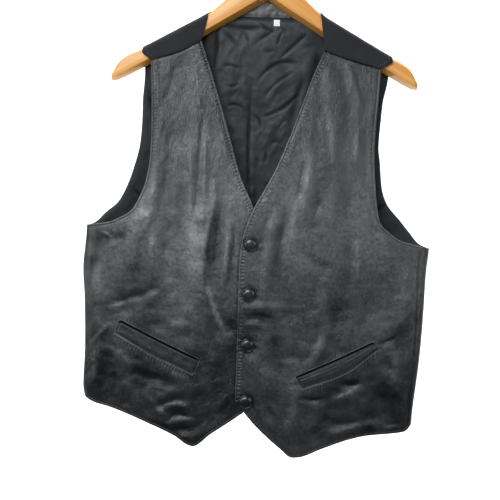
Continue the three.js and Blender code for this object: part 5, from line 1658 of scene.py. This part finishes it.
def armAt(out, key):
    shifts = np.linspace(-hangerSettings["blend"], hangerSettings["blend"], 5)
    places = np.clip(np.abs(out + shifts), 0, arm["out"][-1])
    return np.mean(np.interp(places, arm["out"], arm[key]))


def makeHanger():
    settings, half, reach = hangerSettings, hanging["woodHalf"], arm["out"][-1]
    tips = reach - settings["tip"] * np.cos(np.linspace(0, math.pi / 2, 10))
    outs = np.concatenate([np.arange(0, reach - settings["tip"], settings["step"]), tips])
    outs = np.unique(np.round(np.concatenate([-outs, outs]), 4))
    angles = np.linspace(0, math.pi, settings["topSteps"])
    sections, paces = [], []
    for out in outs:
        top, front, back = (armAt(out, key) for key in ("top", "front", "back"))
        tip = np.clip((abs(out) - reach) / settings["narrowing"] + 1, 0, 1)
        arc = min(half, (front - top) * 0.7)
        crown = np.stack([-half * np.cos(angles), top + arc * (1 - np.sin(angles))], -1)
        low, far = np.array([-half, front]), np.array([half, back])
        loop = np.concatenate([roundCorner(far, low, crown[0], settings["corner"]), crown[1:-1],
                               roundCorner(crown[-1], far, low, settings["corner"])])
        middle = (front + top) / 2
        loop[:, 0] *= math.sqrt(1 - 0.8 * tip * tip)
        loop[:, 1] = middle + (loop[:, 1] - middle) * lerp(1, 0.93, tip)
        across = np.full(len(loop), out + hanging["middle"])
        sections.append(np.stack([across, loop[:, 0], -loop[:, 1]], -1))
        paces.append(np.concatenate([[0], np.cumsum(np.linalg.norm(np.diff(loop, axis=0), axis=1))]))
    points = toFrame(np.array(sections))
    uv = np.stack([np.repeat(outs, points.shape[1]), np.ravel(paces)], -1) / 1000
    piece = tube("hanger_wood_arms", points, woodMaterial(), True, uv)
    settle(piece, "hanger_wood", "hanger_wood")


def steelMaterial():
    material, tree, shader = newMaterial("hookSteel")
    drawn = noiseNode(tree, stretched(tree, placeOf(tree, "Object"), (1, 1, 0.2)), 1400, 4, 0.6)
    bumpInto(tree, shader, drawn, 0.06, 0.0002)
    feed(tree, shader.inputs, {
        "Metallic": 1, "Base Color": mixColour(tree, drawn, (0.56, 0.57, 0.59), (0.72, 0.73, 0.75)),
        "Roughness": remap(tree, drawn, 0.3, 0.7, 0.18, 0.32),
    })
    return material


# The hook's wire rises from a collar, given as heights and radii, along the spots of its
# shank and round its bend, and ends in a rounded tip.
hookSettings = {
    "wire": 1.75, "radius": 24, "steps": 120, "sides": 20, "seat": 0.3,
    "collar": ((0, 4.0), (0.3, 4.5), (1.3, 4.5), (1.9, 3.8), (2.2, 2.25)),
    "shank": ((0, 2.5), (0, 6), (1.6, 10.8), (6.6, 15)), "bend": range(-52, 215, 14),
    "tip": ((0.6, 0.92), (1.1, 0.7), (1.4, 0.35)),
}


def makeHook():
    settings, wire, radius = hookSettings, hookSettings["wire"], hookSettings["radius"]
    foot = settings["seat"] - arm["top"][0] - hanging["throatDrop"]
    bend = np.radians(settings["bend"])
    spots = np.concatenate([np.array(settings["shank"]) + (0, foot),
                            np.stack([radius * np.cos(bend), wire - radius + radius * np.sin(bend)], -1)])
    lengths = np.concatenate([[0], np.cumsum(np.linalg.norm(np.diff(spots, axis=0), axis=1))])
    path = np.linspace(0, lengths[-1], settings["steps"])
    line = np.stack([np.interp(path, lengths, spots[:, k]) for k in (0, 1)], -1)
    for _ in range(6):
        line[1:-1] = (line[:-2] + 2 * line[1:-1] + line[2:]) / 4
    tangent = np.gradient(line, axis=0)
    tangent /= np.linalg.norm(tangent, axis=1, keepdims=True)
    rings = [((0, foot + rise), (0, 1), size) for rise, size in settings["collar"]]
    rings += [(spot, way, wire) for spot, way in zip(line, tangent)]
    rings += [(line[-1] + tangent[-1] * beyond, tangent[-1], wire * share)
              for beyond, share in settings["tip"]]
    angle = np.arange(settings["sides"]) * 2 * math.pi / settings["sides"]
    points = [np.stack([x + size * np.cos(angle) * wayZ, size * np.sin(angle),
                        z - size * np.cos(angle) * wayX], -1) for (x, z), (wayX, wayZ), size in rings]
    piece = tube("hanger_hook_wire", np.array(points) / 1000, steelMaterial())
    settle(piece, "hook_steel", "hanger_hook")


makeHanger()
makeHook()
print("hanger made")

# Topstitching, laid along lines on the leather and cloth
stitchSettings = {"pitch": 3.3, "length": 2.3, "thick": 0.6, "sink": 0.12, "seed": 7}


def threadMaterial():
    material, tree, shader = newMaterial("topstitchThread")
    twist = noiseNode(tree, placeOf(tree, "Object"), 2600, 2, 0.5)
    bumpInto(tree, shader, twist, 0.3, 0.0002)
    feed(tree, shader.inputs, {
        "Base Color": mixColour(tree, twist, (0.045, 0.048, 0.047), (0.13, 0.135, 0.13)),
        "Roughness": 0.5, "Sheen Weight": 0.2,
    })
    return material


# Beads of thread set along a curve, one for each stitch
def stitchTree(material):
    tree, given, result = newGroup(
        "runOfStitches",
        {"Geometry": ("Geometry", None), "Pitch": ("Float", None), "Length": ("Float", None),
         "Thickness": ("Float", None), "Seed": ("Int", None)},
        {"Geometry": ("Geometry", None)}, "GeometryNodeTree",
    )
    places = addNode(tree, "GeometryNodeCurveToPoints",
                     {"Curve": given["Geometry"], "Length": given["Pitch"]}, mode="LENGTH").outputs
    bead = addNode(tree, "GeometryNodeMeshUVSphere", {"Segments": 6, "Rings": 4, "Radius": 0.5})
    uneven = addNode(tree, "FunctionNodeRandomValue", {2: 0.86, 3: 1.12, "Seed": given["Seed"]},
                     data_type="FLOAT")
    length = mathNode(tree, "MULTIPLY", given["Length"], uneven.outputs[1])
    size = addNode(tree, "ShaderNodeCombineXYZ",
                   {"X": given["Thickness"], "Y": given["Thickness"], "Z": length})
    put = addNode(tree, "GeometryNodeInstanceOnPoints",
                  {"Points": places["Points"], "Instance": bead.outputs["Mesh"],
                   "Rotation": places["Rotation"], "Scale": size.outputs[0]})
    real = addNode(tree, "GeometryNodeRealizeInstances", {0: put.outputs[0]})
    shaded = addNode(tree, "GeometryNodeSetShadeSmooth", {"Geometry": real.outputs[0]})
    finish = addNode(tree, "GeometryNodeSetMaterial", {"Geometry": shaded.outputs[0], "Material": material})
    feed(tree, result, {"Geometry": finish.outputs[0]})
    return tree


def makeStitches(name, lines, slotName, tree):
    curve = bpy.data.curves.new(name + "_line", "CURVE")
    curve.dimensions = "3D"
    for line in lines:
        spline = curve.splines.new("POLY")
        spline.points.add(len(line) - 1)
        places = toFrame(line)
        spline.points.foreach_set("co", np.column_stack([places, np.ones(len(places))]).ravel())
    path = bpy.data.objects.new(name + "_line", curve)
    bpy.context.scene.collection.objects.link(path)
    modifier = path.modifiers.new("stitches", "NODES")
    modifier.node_group = tree
    pitch, length, thick = (stitchSettings[key] / 1000 for key in ("pitch", "length", "thick"))
    values = {"Pitch": pitch, "Length": length, "Thickness": thick, "Seed": stitchSettings["seed"]}
    for item in tree.interface.items_tree:
        if item.in_out == "INPUT" and item.name in values:
            modifier[item.identifier] = values[item.name]
    bpy.context.view_layer.update()
    graph = bpy.context.evaluated_depsgraph_get()
    mesh = bpy.data.meshes.new_from_object(path.evaluated_get(graph), depsgraph=graph)
    mesh.name = name
    bpy.data.objects.remove(path)
    piece = bpy.data.objects.new(name, mesh)
    bpy.context.scene.collection.objects.link(piece)
    settle(piece, slotName)


def onSurface(grid, key, inset, reverse=False, rowsFirst=False):
    points = grid["outer"] + grid["normals"] * stitchSettings["sink"]
    gap = grid["distance"][key]
    if rowsFirst:
        points, gap = points.transpose(1, 0, 2), gap.T
    if reverse:
        points, gap = points[:, ::-1], gap[:, ::-1]
    return lineAt(points, gap, inset)


def keptAway(line, other, least):
    return line[distanceFrom(line[None], other)[0][0] > least]


# A curved edge of a welt, drawn on a little past both of its ends
def edgeDrop(rows, x, more=6.0):
    xs = np.linspace(rows["x"][0], rows["x"][-1], 30)
    ys = smooth(rows, "x", "drop")(xs)
    first, last = (ys[1] - ys[0]) / (xs[1] - xs[0]), (ys[-1] - ys[-2]) / (xs[-1] - xs[-2])
    xs = np.concatenate([[xs[0] - more], xs, [xs[-1] + more]])
    return np.interp(x, xs, np.concatenate([[ys[0] - more * first], ys, [ys[-1] + more * last]]))


# The ring of stitches around a pocket
def pocketStitchLine(side):
    upper, lower = welts[side].values()
    out = pocketSettings["stitchInset"]
    rise = out * 1.1
    upperX = np.linspace(upper["x"][0] - out, upper["x"][-1] + out, 80)
    lowerX = np.linspace(lower["x"][-1] + out, lower["x"][0] - out, 80)
    upperDrop, lowerDrop = edgeDrop(upper, upperX) - rise, edgeDrop(lower, lowerX) + rise
    loopX = np.concatenate([upperX, lowerX, upperX[:1]])
    loopDrop = np.concatenate([upperDrop, lowerDrop, upperDrop[:1]])
    ways = np.concatenate([[0], np.cumsum(np.hypot(np.diff(loopX), np.diff(loopDrop)))])
    even = np.linspace(0, ways[-1], 260)
    places = zip(np.interp(even, ways, loopX), np.interp(even, ways, loopDrop))
    return np.array([(x, frontDepth(frontTrees[side], x, drop) - 0.15, -drop) for x, drop in places])


def frontStitchLines(side):
    grid, inset = frontGrids[side], frontSettings["stitchInset"]
    upper = grid["distance"]["armhole"][:, -1] < 0.3
    neck = keptAway(onSurface(grid, "neck", inset), grid["base"][-1], inset)
    hem = keptAway(onSurface(grid, "hem", inset, True, True), grid["base"][:, 0], inset)
    armhole = onSurface(grid, "armhole", inset, True)[upper]
    return [neck, hem, armhole, pocketStitchLine(side)]


def backStitchLines():
    inset, start = backSettings["stitchInset"], 4
    hem = onSurface(backGrid, "hem", inset, True, True)
    underarm = int(np.abs(backGrid["outer"][:, 0, 2] + 326).argmin())
    left, right = onSurface(backGrid, "armLeft", inset), onSurface(backGrid, "armRight", inset, True)
    return [hem[6:-6], left[start:underarm], right[start:underarm]]


stitches = stitchTree(threadMaterial())
for side in frontGrids:
    makeStitches(f"stitches_front_{side}", frontStitchLines(side), "front_leather", stitches)
makeStitches("stitches_back", backStitchLines(), "back_cloth", stitches)
print("stitches sewn")

# Studio: a pale sweep of floor and wall, soft lights, and the camera
studio = {
    "floor": -1.7, "wall": 1.5, "bend": 0.5, "half": 3.0, "near": -0.3, "top": 2.6, "air": 0.07,
    "camera": (-0.0132, -1.5, -0.4573), "lens": 74.48, "roll": 1.82,
}
cool = (0.95, 0.98, 1.0)
white = (1, 1, 1)
lights = {
    "keyLight": ((-1.05, -2.7, 1.2), (0, 0, -0.42), (1.8, 1.3), 110, cool),
    "sideLight": ((-2.6, -0.9, 0.0), (0, 0, -0.45), (0.8, 1.2), 22, cool),
    "fillLight": ((1.9, -1.9, 0.3), (0, 0, -0.4), (1.0, 1.2), 20, cool),
    "wallLight": ((0, 0.35, 1.5), (0, 1.5, -0.6), (3.2, 0.8), 60, white),
    "wallLightLow": ((0, 0.5, -1.5), (0, 1.5, -0.5), (3.2, 0.5), 32, white),
}


def makeSweep():
    floor, back, bend = studio["floor"], studio["wall"], studio["bend"]
    profile = [(studio["near"], floor)]
    for angle in np.linspace(0, math.pi / 2, 14):
        profile.append((back - bend + bend * math.sin(angle), floor + bend * (1 - math.cos(angle))))
    profile.append((back, studio["top"]))
    points = [(x, y, z) for y, z in profile for x in (-studio["half"], studio["half"])]
    index = np.arange(len(points)).reshape(-1, 2)
    faces = np.stack([index[:-1, 0], index[:-1, 1], index[1:, 1], index[1:, 0]], -1)
    material, tree, shader = newMaterial("palePaper")
    fibre = noiseNode(tree, placeOf(tree, "Object"), 60, 3)
    feed(tree, shader.inputs, {
        "Base Color": mixColour(tree, fibre, (0.87, 0.87, 0.87), (0.9, 0.9, 0.9)), "Roughness": 0.85,
    })
    newMesh("studio_sweep", points, faces, [material])


def areaLight(name, place, target, size, power, colour):
    data = bpy.data.lights.new(name, "AREA")
    data.shape = "RECTANGLE"
    data.size, data.size_y = size
    data.energy = power
    data.color = colour
    lamp = bpy.data.objects.new(name, data)
    lamp.location = place
    lamp.rotation_euler = (Vector(target) - Vector(place)).to_track_quat("-Z", "Y").to_euler()
    bpy.context.scene.collection.objects.link(lamp)


def makeStudio():
    scene = bpy.context.scene
    makeSweep()
    for name, row in lights.items():
        areaLight(name, *row)
    scene.world = bpy.data.worlds.new("studioAir")
    scene.world.use_nodes = True
    air = scene.world.node_tree.nodes["Background"]
    feed(scene.world.node_tree, air.inputs, {"Color": (1, 1, 1, 1), "Strength": studio["air"]})
    scene.view_settings.view_transform = "Standard"
    data = bpy.data.cameras.new("camera")
    data.lens = studio["lens"]
    camera = bpy.data.objects.new("camera", data)
    camera.location = studio["camera"]
    camera.rotation_euler = (math.pi / 2, -math.radians(studio["roll"]), 0)
    scene.collection.objects.link(camera)
    scene.camera = camera


makeStudio()
print("studio lit")
